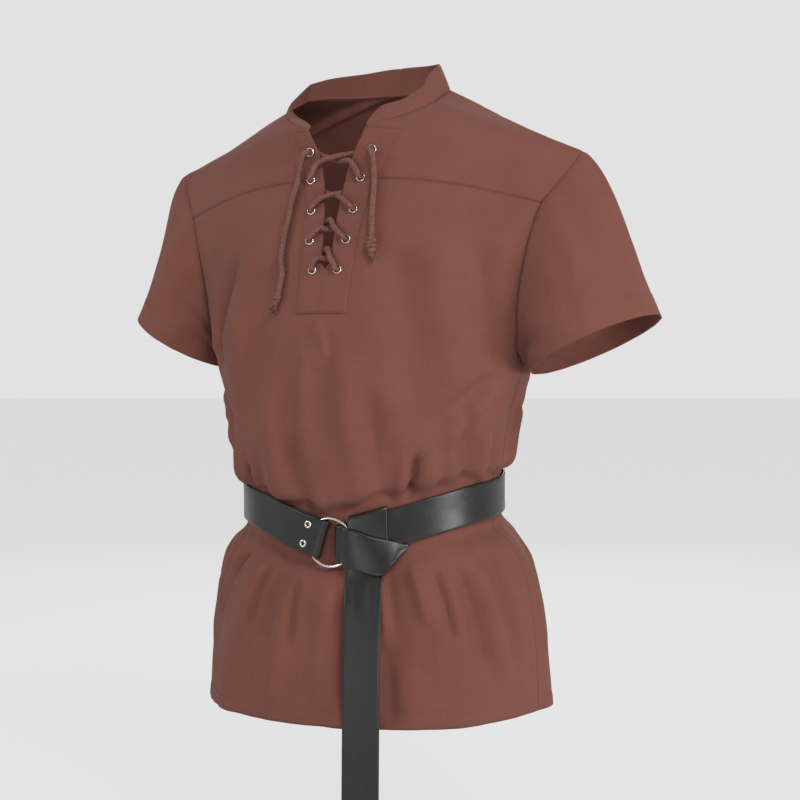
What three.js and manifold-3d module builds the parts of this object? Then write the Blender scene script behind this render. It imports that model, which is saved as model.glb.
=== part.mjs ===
// Medieval tunic worn on an unseen figure, with lace, ring belt and hanging belt tail.
// Millimetres, +Z up. The wearer faces -Y, the wearer's left is +X.
// The origin is the centre of the neck, level with the top of the shoulders.
import * as THREE from 'three';
import { mergeVertices } from 'three/addons/utils/BufferGeometryUtils.js';
import Module from 'manifold-3d';

const wasm = await Module();
wasm.setup();

// Driving sizes
const cloth = 1.6;
const placketCloth = 1.2;
const seamGap = 0.4;
const armholeGap = 0.9;
const placketBottom = 6.95;
const neckEnd = 10.6;
const eyelet = { outer: 5.4, inner: 3.7, barrel: 4.05, hole: 4.45, rise: 1.2 };
const eyeletRow = { count: 5, top: -76, pitch: 33 };
const eyeletInsets = { left: [19.5, 18.5, 18, 15.5, 15.5], right: [9.5, 15.5, 15.5, 15.5, 15.5] };
const insetOf = (side, i) => (side > 0 ? eyeletInsets.left : eyeletInsets.right)[i];
const lace = { radius: 2.5, sides: 8, steps: 92, endRadius: 3.1 };
const collarHeight = 31;
const cornerRadius = 16;
const strap = { width: 42, thick: 2.6, lift: 3.5 };
const ring = { radius: 26, wire: 1.7, centre: 13.5, lift: 6.9, drop: 2.4 };
const neck = { halfWidth: 96, halfDepth: 80, centreY: -5 };

const degrees = Math.PI / 180;
const vec = (x, y, z) => new THREE.Vector3(x, y, z);

// Smooth value between the rows of a table, without overshoot
// Rows of numbers under named columns
function table(names, rows) {
  return rows.map((row) => Object.fromEntries(names.split(' ').map((name, i) => [name, row[i]])));
}
function between(rows, column, at) {
  const last = rows.length - 1;
  const step = (i) => rows[i + 1].at - rows[i].at;
  const slope = (i) => (rows[i + 1][column] - rows[i][column]) / step(i);
  const tangent = (i) => {
    if (i === 0) return slope(0);
    if (i === last) return slope(last - 1);
    const [before, after] = [slope(i - 1), slope(i)];
    return before * after <= 0 ? 0 : (2 * before * after) / (before + after);
  };
  let k = 0;
  while (k < last - 1 && rows[k + 1].at < at) k += 1;
  const width = step(k);
  const t = Math.min(1, Math.max(0, (at - rows[k].at) / width));
  const [t2, t3] = [t * t, t * t * t];
  return (2 * t3 - 3 * t2 + 1) * rows[k][column] + (t3 - 2 * t2 + t) * width * tangent(k)
    + (3 * t2 - 2 * t3) * rows[k + 1][column] + (t3 - t2) * width * tangent(k + 1);
}

// Neck seam, by angle from the front, with its height
const neckHeights = [
  { at: 0, z: -58 }, { at: 22, z: -52 }, { at: 66, z: -28 }, { at: 90, z: -10 },
  { at: 112, z: -1 }, { at: 140, z: 3 }, { at: 180, z: 4 },
];
function neckPoint(angle) {
  const x = neck.halfWidth * Math.sin(angle * degrees);
  const y = neck.centreY - neck.halfDepth * Math.cos(angle * degrees);
  return vec(x, y, between(neckHeights, 'z', Math.abs(angle)));
}
function neckStart(angle) {
  return neckPoint(angle).toArray();
}

// Half the opening of the slit, by height
const slitRows = table('at open', [
  [-207, 0], [-201, 5.2], [-185, 6.7], [-160, 7.6], [-130, 10.8], [-111, 13.5],
  [-85, 20], [-52, 36],
]);

// Sections from hem to shoulder ridge, for the wearer's left half. x0 y0 z0 is where a section starts, at
// the centre line or neck, and the slit's opening moves it aside. x1 y1 z1 is its end at the side seam or
// armhole. out, run and rise shape it near the start, back, turn and lift near the end.
const sectionColumnNames = 'at x0 y0 z0 x1 y1 z1 out run rise back turn lift';
const ridgeRow = [13, ...neckStart(105), 255, 4, -82, 46, 0, -26, 62, 2, 25];
const frontRows = table(sectionColumnNames, [
  [0, 0, -138, -700, 199, 15, -692, 122, 0, 0, 0, -92, 0],
  [1, 0, -136, -640, 196, 13, -632, 120, 0, 0, 0, -90, 0],
  [2, 0, -131, -585, 187, 11, -565, 112, 0, 2, 0, -84, -2],
  [2.7, 0, -123, -549, 169, 8, -510, 102, 0, 16, 0, -76, -6],
  [3.3, 0, -112, -530, 149, 6, -487, 92, 0, 30, 0, -70, -6],
  [4, 0, -112, -476, 149, 6, -433, 92, 0, 30, 0, -70, -6],
  [4.6, 0, -122, -461, 160, 5, -420, 98, 0, 20, 0, -74, -4],
  [5.2, 0, -127, -415, 166, 5, -385, 104, 0, 7, 0, -78, -2],
  [6, 0, -127, -345, 177, 4, -342, 110, 0, 0, 0, -80, 0],
  [6.5, 0, -123, -300, 187, 2, -314, 114, 0, 0, 2, -76, 0],
  [6.95, 0, -117, -259, 191, -26, -292, 114, 0, 0, 18, -54, 4],
  [8, 0, -105, -207, 197, -36, -238, 104, 0, -2, 34, -40, 6],
  [8.7, 0, -95, -160, 207, -37, -190, 90, 0, -4, 44, -32, 8],
  [9.4, 0, -84, -111, 222, -30, -139, 80, 2, 8, 52, -26, 14],
  [10, 0, -79.5, -80, 234, -20, -120, 70, 6, -1, 56, -20, 15],
  [10.6, ...neckStart(22), 243, -12, -105, 62, 8, -2, 58, -14, 18],
  [11.3, ...neckStart(48), 249, -5, -94, 54, 8, -8, 60, -9, 21],
  [12.1, ...neckStart(76), 253, 0, -86, 48, 5, -18, 62, -3, 23],
  ridgeRow,
]);
const backRows = table(sectionColumnNames, [
  [0, 0, 166, -696, 199, 15, -692, 122, 0, 0, 0, 92, 0],
  [1, 0, 162, -635, 196, 13, -632, 120, 0, 0, 0, 90, 0],
  [2, 0, 152, -560, 187, 11, -565, 112, 0, 0, 0, 84, 2],
  [2.7, 0, 137, -492, 169, 8, -510, 102, 0, 0, 0, 76, 6],
  [3.3, 0, 119, -463, 149, 6, -487, 92, 0, 0, 0, 70, 8],
  [4, 0, 119, -410, 149, 6, -433, 92, 0, 0, 0, 70, 8],
  [4.6, 0, 125, -398, 160, 5, -420, 98, 0, 0, 0, 74, 6],
  [5.2, 0, 130, -370, 166, 5, -385, 104, 0, 0, 0, 78, 2],
  [6, 0, 136, -328, 177, 4, -342, 110, 0, 0, 0, 80, 0],
  [6.5, 0, 138, -290, 187, 2, -314, 114, 0, 0, 2, 78, 0],
  [6.95, 0, 138, -250, 193, 32, -290, 116, 0, 0, 14, 60, 2],
  [8, 0, 133, -190, 202, 46, -236, 112, 0, 0, 30, 48, 4],
  [8.7, 0, 124, -140, 214, 46, -188, 104, 0, 0, 40, 38, 8],
  [9.4, 0, 110, -92, 227, 38, -146, 94, 0, 0, 48, 30, 10],
  [10, 0, 97, -52, 237, 28, -122, 84, 0, -4, 54, 24, 15],
  [10.6, ...neckStart(180), 245, 20, -106, 74, 4, -8, 58, 18, 18],
  [11.3, ...neckStart(152), 250, 14, -94, 62, 3, -16, 60, 12, 21],
  [12.1, ...neckStart(127), 253, 9, -86, 52, 1, -23, 62, 7, 23],
  ridgeRow,
]);

// Largest folds. around is degrees from the front towards the wearer's left, at the fold's top and foot.
// width is in degrees, depth in mm, and a negative depth is a trough.
const folds = table('around foot top low width depth', [
  [37, 42, -518, -650, 6, -7], [24, 29, -540, -690, 7, -4], [52, 60, -508, -690, 8, 6],
  [78, 84, -496, -640, 6, -7], [96, 104, -500, -690, 8, 7], [2, 4, -560, -695, 7, -4],
  [-22, -30, -525, -640, 6, -6], [-36, -46, -512, -690, 7, 6], [-60, -66, -505, -650, 7, -6],
  [-84, -92, -500, -690, 8, 6], [128, 132, -490, -650, 7, -6], [152, 156, -485, -690, 8, 6],
  [-172, -174, -485, -650, 7, -6], [-146, -150, -488, -690, 8, 6], [-118, -122, -494, -640, 7, -6],
  [38, 38, -380, -484, 5, -6], [60, 56, -400, -462, 9, 4], [84, 80, -390, -446, 6, -5],
  [-40, -37, -400, -472, 5, -6], [-62, -60, -400, -456, 9, 4], [-4, 0, -400, -480, 7, -3],
  [140, 140, -360, -430, 7, -5], [174, 174, -350, -424, 8, -5], [-140, -140, -360, -430, 7, -5],
]);
const foldEnd = 34;

function smooth(t) {
  const s = Math.min(1, Math.max(0, t));
  return s * s * (3 - 2 * s);
}

// A fold pushes the cloth away from the body's axis, or towards it
function folded(p) {
  const around = Math.atan2(p.x, -p.y) / degrees;
  let push = 0;
  for (const fold of folds) {
    const down = (fold.top - p.z) / (fold.top - fold.low);
    const off = ((around - fold.around - (fold.foot - fold.around) * down + 540) % 360) - 180;
    const toHem = fold.low < -680 ? 1 : 0;
    const fade = smooth((fold.top - p.z) / foldEnd) * smooth((p.z - fold.low) / foldEnd + toHem);
    push += fold.depth * fade * Math.exp(-((off / fold.width) ** 2));
  }
  const reach = Math.hypot(p.x, p.y);
  return vec(p.x * (1 + push / reach), p.y * (1 + push / reach), p.z);
}

// A point of a section, u from 0 at its start to 1 at its end. side is 1 for the wearer's left and -1 for
// the right.
function sectionPoint(rows, at, u, side) {
  const value = (column) => between(rows, column, at);
  const start = vec(value('x0'), value('y0'), value('z0'));
  if (rows === frontRows && at < neckEnd) start.x = between(slitRows, 'open', start.z);
  const end = vec(value('x1'), value('y1'), value('z1'));
  const leave = start.clone().add(vec(value('out'), value('run'), value('rise')));
  const arrive = end.clone().add(vec(-value('back'), value('turn'), value('lift')));
  const curve = new THREE.CubicBezierCurve3(start, leave, arrive, end);
  const p = curve.getPoint(u);
  return folded(vec(p.x * side, p.y, p.z));
}

// The u that lies a given distance from the start of a section
function uAtDistance(rows, at, distance, side) {
  const start = sectionPoint(rows, at, 0, side);
  let [low, high] = [0, 0.6];
  for (let i = 0; i < 14; i += 1) {
    const middle = (low + high) / 2;
    if (sectionPoint(rows, at, middle, side).distanceTo(start) < distance) low = middle;
    else high = middle;
  }
  return (low + high) / 2;
}

// A surface is a list of points and triangles. Equal points are shared.
class Surface {
  constructor() {
    this.points = [];
    this.faces = [];
    this.index = new Map();
  }

  point(p) {
    const key = [p.x, p.y, p.z].map((v) => Math.round(v * 200)).join();
    if (!this.index.has(key)) {
      this.index.set(key, this.points.length);
      this.points.push(p.clone());
    }
    return this.index.get(key);
  }

  triangle(a, b, c) {
    if (a !== b && b !== c && c !== a) this.faces.push([a, b, c]);
  }

  // grid[i][j] are points, and flip turns the faces over
  grid(points, flip) {
    const ids = points.map((row) => row.map((p) => this.point(p)));
    for (let i = 0; i + 1 < ids.length; i += 1) {
      for (let j = 0; j + 1 < ids[i].length; j += 1) {
        const [a, b, c, d] = [ids[i][j], ids[i][j + 1], ids[i + 1][j + 1], ids[i + 1][j]];
        if (flip) {
          this.triangle(a, c, b);
          this.triangle(a, d, c);
        } else {
          this.triangle(a, b, c);
          this.triangle(a, c, d);
        }
      }
    }
    return ids;
  }

  normals() {
    const sums = this.points.map(() => vec(0, 0, 0));
    for (const face of this.faces) {
      const [a, b, c] = face.map((i) => this.points[i]);
      const corner = [[a, b, c], [b, c, a], [c, a, b]];
      const flat = b.clone().sub(a).cross(c.clone().sub(a)).normalize();
      corner.forEach(([p, q, r], k) => {
        const angle = q.clone().sub(p).angleTo(r.clone().sub(p));
        sums[face[k]].addScaledVector(flat, angle);
      });
    }
    return sums.map((n) => n.normalize());
  }
}

// Where surfaces share seam points, they share a normal too, so that their walls end on one plane
function joinSeams(surfaces) {
  const shared = new Map();
  const all = surfaces.map((surface) => surface.normals());
  surfaces.forEach((surface, k) => {
    for (const [key, i] of surface.index) {
      if (!shared.has(key)) shared.set(key, vec(0, 0, 0));
      shared.get(key).add(all[k][i]);
    }
  });
  surfaces.forEach((surface, k) => {
    for (const [key, i] of surface.index) all[k][i] = shared.get(key).clone().normalize();
    surface.shared = all[k];
  });
}

// A closed wall on a surface, from the height inner to the height outer along its normals. Each open edge
// is drawn back by half a seam gap.
function wall(surface, inner, outer, gap = seamGap) {
  const normals = surface.shared ?? surface.normals();
  const next = new Map();
  const edges = new Set(surface.faces.flatMap(([a, b, c]) => [`${a},${b}`, `${b},${c}`, `${c},${a}`]));
  for (const edge of edges) {
    const [a, b] = edge.split(',').map(Number);
    if (!edges.has(`${b},${a}`)) next.set(a, b);
  }
  const previous = new Map([...next].map(([a, b]) => [b, a]));
  const points = surface.points.map((p, i) => {
    if (!next.has(i)) return p;
    const along = surface.points[next.get(i)].clone().sub(surface.points[previous.get(i)]).normalize();
    return p.clone().addScaledVector(normals[i].clone().cross(along).normalize(), gap / 2);
  });
  const count = points.length;
  const positions = [outer, inner].flatMap((height) => points.flatMap((p, i) => {
    const q = p.clone().addScaledVector(normals[i], height);
    return [q.x, q.y, q.z];
  }));
  const faces = surface.faces.flatMap(([a, b, c]) => [a, b, c, count + a, count + c, count + b]);
  for (const [a, b] of next) faces.push(b, a, count + a, b, count + a, count + b);
  const geometry = new THREE.BufferGeometry();
  geometry.setAttribute('position', new THREE.Float32BufferAttribute(positions, 3));
  geometry.setIndex(faces);
  return geometry;
}

// Section levels that carry mesh rows, and columns across a half panel
const bodyLevels = [
  0, 0.5, 1, 1.5, 2, 2.35, 2.7, 3, 3.3, 3.65, 4, 4.3, 4.6, 4.9, 5.2, 5.6, 6, 6.5, 6.95, 7.5, 8,
  8.12, 8.35, 8.7, 9.05, 9.4,
];
const yokeLevels = [9.4, 9.7, 10, 10.3, 10.6, 10.8, 11.3, 11.8, 12.4, 13];
const placketColumns = 3;
const outerColumns = 8;

// Width of the placket beside the slit, or beside the centre below it, on the wearer's left and right
const placketRows = [
  { at: 0, left: 31.5, right: 31.5 }, { at: 6.95, left: 31.5, right: 31.5 }, { at: 8, left: 32, right: 32 },
  { at: 8.12, left: 28, right: 27 }, { at: 8.7, left: 30, right: 26.5 }, { at: 9.4, left: 35, right: 25 },
  { at: 10, left: 38, right: 22.5 }, { at: 10.6, left: 40, right: 20.5 }, { at: 13, left: 40, right: 20.5 },
];
function sectionColumns(rows, at, side) {
  const placketWidth = between(placketRows, side > 0 ? 'left' : 'right', at);
  const edge = uAtDistance(rows, at, placketWidth, side);
  const us = [];
  for (let i = 0; i < placketColumns; i += 1) {
    us.push(uAtDistance(rows, at, (placketWidth * i) / placketColumns, side));
  }
  for (let i = 0; i <= outerColumns; i += 1) us.push(edge + ((1 - edge) * i) / outerColumns);
  us[0] = 0;
  return us;
}
function sectionRow(rows, at, side) {
  return sectionColumns(rows, at, side).map((u) => sectionPoint(rows, at, u, side));
}
function panel(surface, rows, levels, side, outwards) {
  surface.grid(levels.map((at) => sectionRow(rows, at, side)), side * outwards < 0);
}

// Front, back and yoke
const front = new Surface();
const back = new Surface();
const yoke = new Surface();
for (const side of [1, -1]) {
  panel(front, frontRows, bodyLevels, side, 1);
  panel(back, backRows, bodyLevels, side, -1);
  panel(yoke, frontRows, yokeLevels, side, 1);
  panel(yoke, backRows, yokeLevels, side, -1);
}

// Sleeves run from the armhole to the cuff. under is the section level of the underarm point.
const underarm = 6.5;
const armLevels = [...bodyLevels, ...yokeLevels.slice(1)].filter((at) => at >= underarm);
const sleeves = {
  left: { side: 1, x: 268, y: 12, z: -290, wide: 75, deep: 78, tilt: 25 },
  right: { side: -1, x: 250, y: 10, z: -281, wide: 67, deep: 77, tilt: 30 },
};
const sleeveSteps = 7;

function sleeveSurface({ side, x, y, z, wide, deep, tilt }) {
  const half = (rows) => [...armLevels].reverse().map((at) => sectionPoint(rows, at, 1, side));
  const angles = (points, sign) => {
    const runs = points.map((p, i) => (i === 0 ? 0 : p.distanceTo(points[i - 1])));
    const total = runs.reduce((a, b) => a + b);
    let sum = 0;
    return runs.map((run) => {
      sum += run;
      return (sign * Math.PI * sum) / total;
    });
  };
  const [fore, aft] = [half(frontRows), half(backRows)];
  const ringPoints = [...fore, ...aft.reverse().slice(1)];
  const aftAngles = angles([...aft].reverse(), 1).reverse().slice(1).map((a) => -a);
  const ringAngles = [...angles(fore, 1), ...aftAngles];
  const [c, s] = [Math.cos(tilt * degrees), Math.sin(tilt * degrees)];
  const rowsDown = [];
  for (let i = 0; i <= sleeveSteps; i += 1) {
    rowsDown.push(ringPoints.map((start, k) => {
      const a = ringAngles[k];
      const across = wide * Math.cos(a);
      const end = vec(side * (x + across * c), y - deep * Math.sin(a), z + across * s);
      const length = start.distanceTo(end);
      const leave = vec(side * (0.84 - 0.04 * Math.cos(a)), -0.35 * Math.sin(a), -0.22 - 0.3 * Math.cos(a));
      const arrive = vec(side * s, 0, -c);
      const curve = new THREE.CubicBezierCurve3(start, start.clone().addScaledVector(leave, length * 0.26),
        end.clone().addScaledVector(arrive, -length * 0.3), end);
      return curve.getPoint(i / sleeveSteps);
    }));
  }
  const surface = new Surface();
  surface.grid(rowsDown, side < 0);
  return surface;
}
const sleeveLeft = sleeveSurface(sleeves.left);
const sleeveRight = sleeveSurface(sleeves.right);

// Collar. at is degrees from the back of the neck, plus towards the wearer's left. x y z lead from the
// neck seam to the collar's top edge.
const collarRows = [
  { at: -158, x: -10, y: 25, z: 10 }, { at: -132, x: -8, y: 26, z: 12 }, { at: -110, x: -6, y: 18, z: 13 },
  { at: -80, x: 0, y: 10, z: 21.5 }, { at: -40, x: 2, y: 3, z: 29 }, { at: 0, x: 0, y: 0, z: 33 },
  { at: 50, x: -8, y: -3, z: 31 }, { at: 90, x: -17, y: 2, z: 26 }, { at: 110, x: -12, y: 8, z: 20.5 },
  { at: 130, x: -6, y: 15, z: 20 }, { at: 158, x: 4, y: 21, z: 22 },
];
const collarSteps = 2;
function collarSurface() {
  const neckLevels = yokeLevels.filter((at) => at >= neckEnd);
  const half = (side) => [
    ...neckLevels.map((at) => sectionPoint(frontRows, at, 0, side)),
    ...[...neckLevels].reverse().slice(1).map((at) => sectionPoint(backRows, at, 0, side)),
  ];
  const seam = [...half(-1), ...half(1).reverse().slice(1)];
  const runs = seam.map((p, i) => (i === 0 ? 0 : p.distanceTo(seam[i - 1])));
  const total = runs.reduce((a, b) => a + b);
  let sum = 0;
  const columns = seam.map((p, i) => {
    sum += runs[i];
    const fromEnd = Math.min(cornerRadius, sum, total - sum);
    const round = Math.sqrt(cornerRadius ** 2 - (cornerRadius - fromEnd) ** 2) - cornerRadius;
    const share = 1 + round / collarHeight;
    const around = Math.atan2(p.x, p.y - neck.centreY) / degrees;
    const lean = vec(...['x', 'y', 'z'].map((axis) => between(collarRows, axis, around)));
    return Array.from({ length: collarSteps + 1 }, (_, k) => (
      p.clone().addScaledVector(lean, (share * k) / collarSteps)));
  });
  const surface = new Surface();
  surface.grid(columns, false);
  return surface;
}
const collar = collarSurface();
joinSeams([front, back, yoke, sleeveLeft, sleeveRight, collar]);

// Placket, made from the points of the front and yoke beside the slit, moved out
function placketSurface() {
  const allLevels = [...bodyLevels, ...yokeLevels.slice(1)];
  const levels = allLevels.filter((at) => at >= placketBottom && at <= neckEnd);
  const surface = new Surface();
  for (const side of [1, -1]) {
    surface.grid(levels.map((at) => sectionRow(frontRows, at, side).slice(0, placketColumns + 1)), side < 0);
  }
  surface.shared = [];
  for (const [key, i] of surface.index) {
    const under = front.index.has(key) ? front : yoke;
    surface.shared[i] = under.shared[under.index.get(key)];
  }
  return surface;
}
const placketInner = cloth / 2 + seamGap;
const placketOuter = placketInner + placketCloth;

// Place on the cloth beside the slit. inset is the distance from the slit's edge, z the height.
function placeBesideSlit(side, inset, z) {
  let [low, high] = [0, neckEnd];
  for (let i = 0; i < 30; i += 1) {
    const middle = (low + high) / 2;
    if (between(frontRows, 'z0', middle) < z) low = middle;
    else high = middle;
  }
  const u = inset > 0 ? uAtDistance(frontRows, low, inset, side) : 0;
  const p = sectionPoint(frontRows, low, u, side);
  const across = sectionPoint(frontRows, low, u + 0.02, side).sub(p).normalize();
  const up = sectionPoint(frontRows, low + 0.05, u, side).sub(p).normalize();
  const out = across.clone().cross(up).multiplyScalar(side).normalize();
  return { p, across, out };
}
function besideSlit(side, inset, z, height) {
  const place = placeBesideSlit(side, Math.max(inset, 0), z);
  return place.p.addScaledVector(place.out, height).addScaledVector(place.across, Math.min(inset, 0));
}

// Solids for cutting and joining
function solid(geometry) {
  const bare = geometry.clone();
  bare.deleteAttribute('normal');
  bare.deleteAttribute('uv');
  const merged = mergeVertices(bare, 1e-4);
  return new wasm.Manifold(new wasm.Mesh({
    numProp: 3,
    vertProperties: new Float32Array(merged.attributes.position.array),
    triVerts: new Uint32Array(merged.index.array),
  }));
}
function geometryOf(body) {
  const mesh = body.getMesh();
  const geometry = new THREE.BufferGeometry();
  geometry.setAttribute('position', new THREE.BufferAttribute(mesh.vertProperties, 3));
  geometry.setIndex(new THREE.BufferAttribute(mesh.triVerts, 1));
  return geometry;
}

// Eyelets
const eyeletSides = 10;
const eyeletPlaces = [];
for (const [name, side] of [['left', 1], ['right', -1]]) {
  for (let i = 0; i < eyeletRow.count; i += 1) {
    const z = eyeletRow.top - i * eyeletRow.pitch;
    const place = placeBesideSlit(side, insetOf(side, i), z);
    eyeletPlaces.push({ name: `eyelet_${name}_${i + 1}`, side, z, place });
  }
}
function turnedOut(geometry, place) {
  const turn = new THREE.Quaternion().setFromUnitVectors(vec(0, 1, 0), place.out);
  return geometry.applyQuaternion(turn).translate(place.p.x, place.p.y, place.p.z);
}
function holes() {
  return eyeletPlaces.map(({ place }) => (
    solid(turnedOut(new THREE.CylinderGeometry(eyelet.hole, eyelet.hole, 9, eyeletSides), place))));
}
function eyeletGeometry(place) {
  const seat = placketOuter + seamGap;
  const foot = -cloth / 2 - 0.6;
  const profile = [
    [eyelet.inner, foot], [eyelet.barrel, foot], [eyelet.barrel, seat], [eyelet.outer, seat],
    [eyelet.outer - 0.6, seat + eyelet.rise], [eyelet.inner + 0.5, seat + eyelet.rise],
    [eyelet.inner, seat + eyelet.rise - 0.5], [eyelet.inner, foot],
  ].map(([r, h]) => new THREE.Vector2(r, h));
  return turnedOut(new THREE.LatheGeometry(profile, eyeletSides), place);
}
function cutHoles(geometry) {
  return geometryOf(holes().reduce((body, hole) => body.subtract(hole), solid(geometry)));
}

// Lace. One leg runs from an eyelet inside, out through the slit, over the other edge and into the next
// eyelet from outside. The crossing leg does the opposite. down and up are the heights of the two legs at
// the centre, and downShift and upShift move them along the slit there. over and under are the shares of a
// leg's rise that it has made at the slit's edge, outside and inside.
const crossings = [
  { down: -3, up: 5, downShift: 5.5, upShift: 9, over: 0.56, under: 0.1 },
  { down: 4.6, up: -2.6, downShift: 0, upShift: 0, over: 0.34, under: 0.36 },
  { down: 1.5, up: 0.5, downShift: 5.5, upShift: -5.5, over: 0.34, under: 0.36 },
  { down: 1.6, up: 1.4, downShift: -4.8, upShift: 6.2, over: 0.34, under: 0.36 },
];
const eyeletZ = (i) => eyeletRow.top - i * eyeletRow.pitch;

function legPoints(fromSide, from, to, height, shift, { over, under }, startsInside) {
  const [z0, z1] = [eyeletZ(from), eyeletZ(to)];
  const at = (share, sign) => z0 + (z1 - z0) * (sign < 0 ? share : 1 - share);
  const inside = (side, sign) => {
    const inset = insetOf(side, sign < 0 ? from : to);
    return [
      besideSlit(side, inset, at(0, sign), -1.4),
      besideSlit(side, inset - 1.6, at(under * 0.055, sign), -4.6),
      besideSlit(side, inset - 5, at(under * 0.33, sign), -5.4),
      besideSlit(side, 1.5, at(under, sign), -5.2),
    ];
  };
  const outside = (side, sign) => {
    const inset = insetOf(side, sign < 0 ? from : to);
    return [
      besideSlit(side, inset, at(0, sign), 3),
      besideSlit(side, inset - 1.3, at(over * 0.06, sign), 6.4),
      besideSlit(side, inset - 4.5, at(over * 0.3, sign), 7.4),
      besideSlit(side, 1.5, at(over, sign), 6.6),
    ];
  };
  const first = startsInside ? inside(fromSide, -1) : outside(fromSide, -1);
  const last = startsInside ? outside(-fromSide, 1) : inside(-fromSide, 1);
  const centre = placeBesideSlit(1, 0, (z0 + z1) / 2 + shift);
  const middle = vec(0, centre.p.y, centre.p.z).add(vec(0, -height, 0));
  return [...first, middle, ...last.reverse()];
}

function lacePoints() {
  const [topRight, topLeft, footInset] = [insetOf(-1, 0), insetOf(1, 0), insetOf(1, eyeletRow.count - 1)];
  const points = [besideSlit(-1, topRight, eyeletZ(0), 6.4), besideSlit(-1, topRight, eyeletZ(0), 3)];
  for (let i = 0; i + 1 < eyeletRow.count; i += 1) {
    const side = i % 2 === 0 ? -1 : 1;
    points.push(...legPoints(side, i, i + 1, crossings[i].down, crossings[i].downShift, crossings[i], true));
  }
  const foot = eyeletRow.count - 1;
  points.push(
    besideSlit(-1, footInset, eyeletZ(foot), -1.4),
    besideSlit(-1, footInset - 2.2, eyeletZ(foot) - 0.6, -5),
    besideSlit(1, footInset - 2.2, eyeletZ(foot) - 0.6, -5),
    besideSlit(1, footInset, eyeletZ(foot), -1.4),
  );
  for (let i = foot; i > 0; i -= 1) {
    const side = i % 2 === 0 ? 1 : -1;
    const crossing = crossings[i - 1];
    points.push(...legPoints(side, i, i - 1, crossing.up, crossing.upShift, crossing, false));
  }
  points.push(besideSlit(1, topLeft, eyeletZ(0), 3), besideSlit(1, topLeft, eyeletZ(0), 6.4));
  return points;
}

function tube(points, radius, steps, sides = lace.sides) {
  const section = new THREE.Shape(Array.from({ length: sides }, (_, i) => {
    const a = (2 * Math.PI * i) / sides;
    return new THREE.Vector2(radius * Math.cos(a), radius * Math.sin(a));
  }));
  const path = new THREE.CatmullRomCurve3(points, false, 'centripetal');
  return new THREE.ExtrudeGeometry(section, { steps, extrudePath: path, bevelEnabled: false });
}

// Free ends of the lace, beside the slit. height is above the cloth's middle.
const tails = {
  right: {
    side: -1,
    rows: table('inset z height', [
      [9.5, -76, 6.9], [9.7, -76.1, 8.8], [12, -77.4, 10.6], [17, -82, 10.8], [22, -90, 8.8],
      [27, -101, 6.8], [33, -116, 5.9], [39, -132, 5.5], [44, -150, 5.5], [48, -170, 5.5],
      [50, -190, 5.5], [53, -210, 5.5], [53.5, -229.2, 6.4],
    ]),
    knot: { inset: 54, z: -237.5, height: 7.4, wide: 6.2, tall: 7.2,
      end: { inset: 60, z: -254, height: 5.6 } },
  },
  left: {
    side: 1,
    rows: table('inset z height', [
      [19.5, -76, 6.9], [19.7, -76.1, 8.8], [21.5, -77.8, 10.8], [25, -82, 11.4], [29, -90, 9.4],
      [33, -101, 7], [37.5, -116, 5.9], [40, -132, 5.5], [43, -150, 5.5], [46, -170, 5.8],
    ]),
    knot: { inset: 48, z: -181, height: 7, wide: 6, tall: 10,
      end: { inset: 50, z: -203, height: 6.4 } },
  },
};
const tailSteps = 22;
function tailPoint(side, { inset, z, height }) {
  return besideSlit(side, inset, z, height);
}
// A knot is a round turned body, with a short frayed end below it, in one piece
function knotGeometry(side, knot) {
  const centre = tailPoint(side, knot);
  const end = tailPoint(side, knot.end);
  const along = end.clone().sub(centre);
  const length = along.length();
  const profile = [
    [0, -knot.tall], [knot.wide * 0.62, -knot.tall * 0.82], [knot.wide * 0.97, -knot.tall * 0.3],
    [knot.wide * 0.97, knot.tall * 0.3], [knot.wide * 0.62, knot.tall * 0.82],
    [3.1, knot.tall + 0.6], [3.6, length - 2], [3.8, length], [0, length + 1],
  ].map(([r, h]) => new THREE.Vector2(r, h));
  const turn = new THREE.Quaternion().setFromUnitVectors(vec(0, 1, 0), along.normalize());
  return new THREE.LatheGeometry(profile, 10).applyQuaternion(turn).translate(centre.x, centre.y, centre.z);
}

// Waist. Distances run along the belt's middle from the centre front, plus towards the wearer's left.
const waistLevels = { low: 3.3, middle: 3.65, high: 4 };
const waistSamples = 40;
const waist = [];
for (const [rows, forward] of [[frontRows, true], [backRows, false]]) {
  for (let i = 0; i <= waistSamples; i += 1) {
    const u = forward ? i / waistSamples : 1 - i / waistSamples;
    if (!forward && i === 0) continue;
    const p = sectionPoint(rows, waistLevels.middle, u, 1);
    const low = sectionPoint(rows, waistLevels.low, u, 1);
    const up = sectionPoint(rows, waistLevels.high, u, 1).sub(low).normalize();
    const before = waist[waist.length - 1];
    waist.push({ p, up, s: before ? before.s + p.distanceTo(before.p) : 0 });
  }
}
const halfWaist = waist[waist.length - 1].s;
const leftStrapEnd = 6;
const kink = { left: 3.2, right: -7.6, from: 6.5, to: 19.5 };
const kinkFade = { left: [60, 210], right: [70, 190] };

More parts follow.
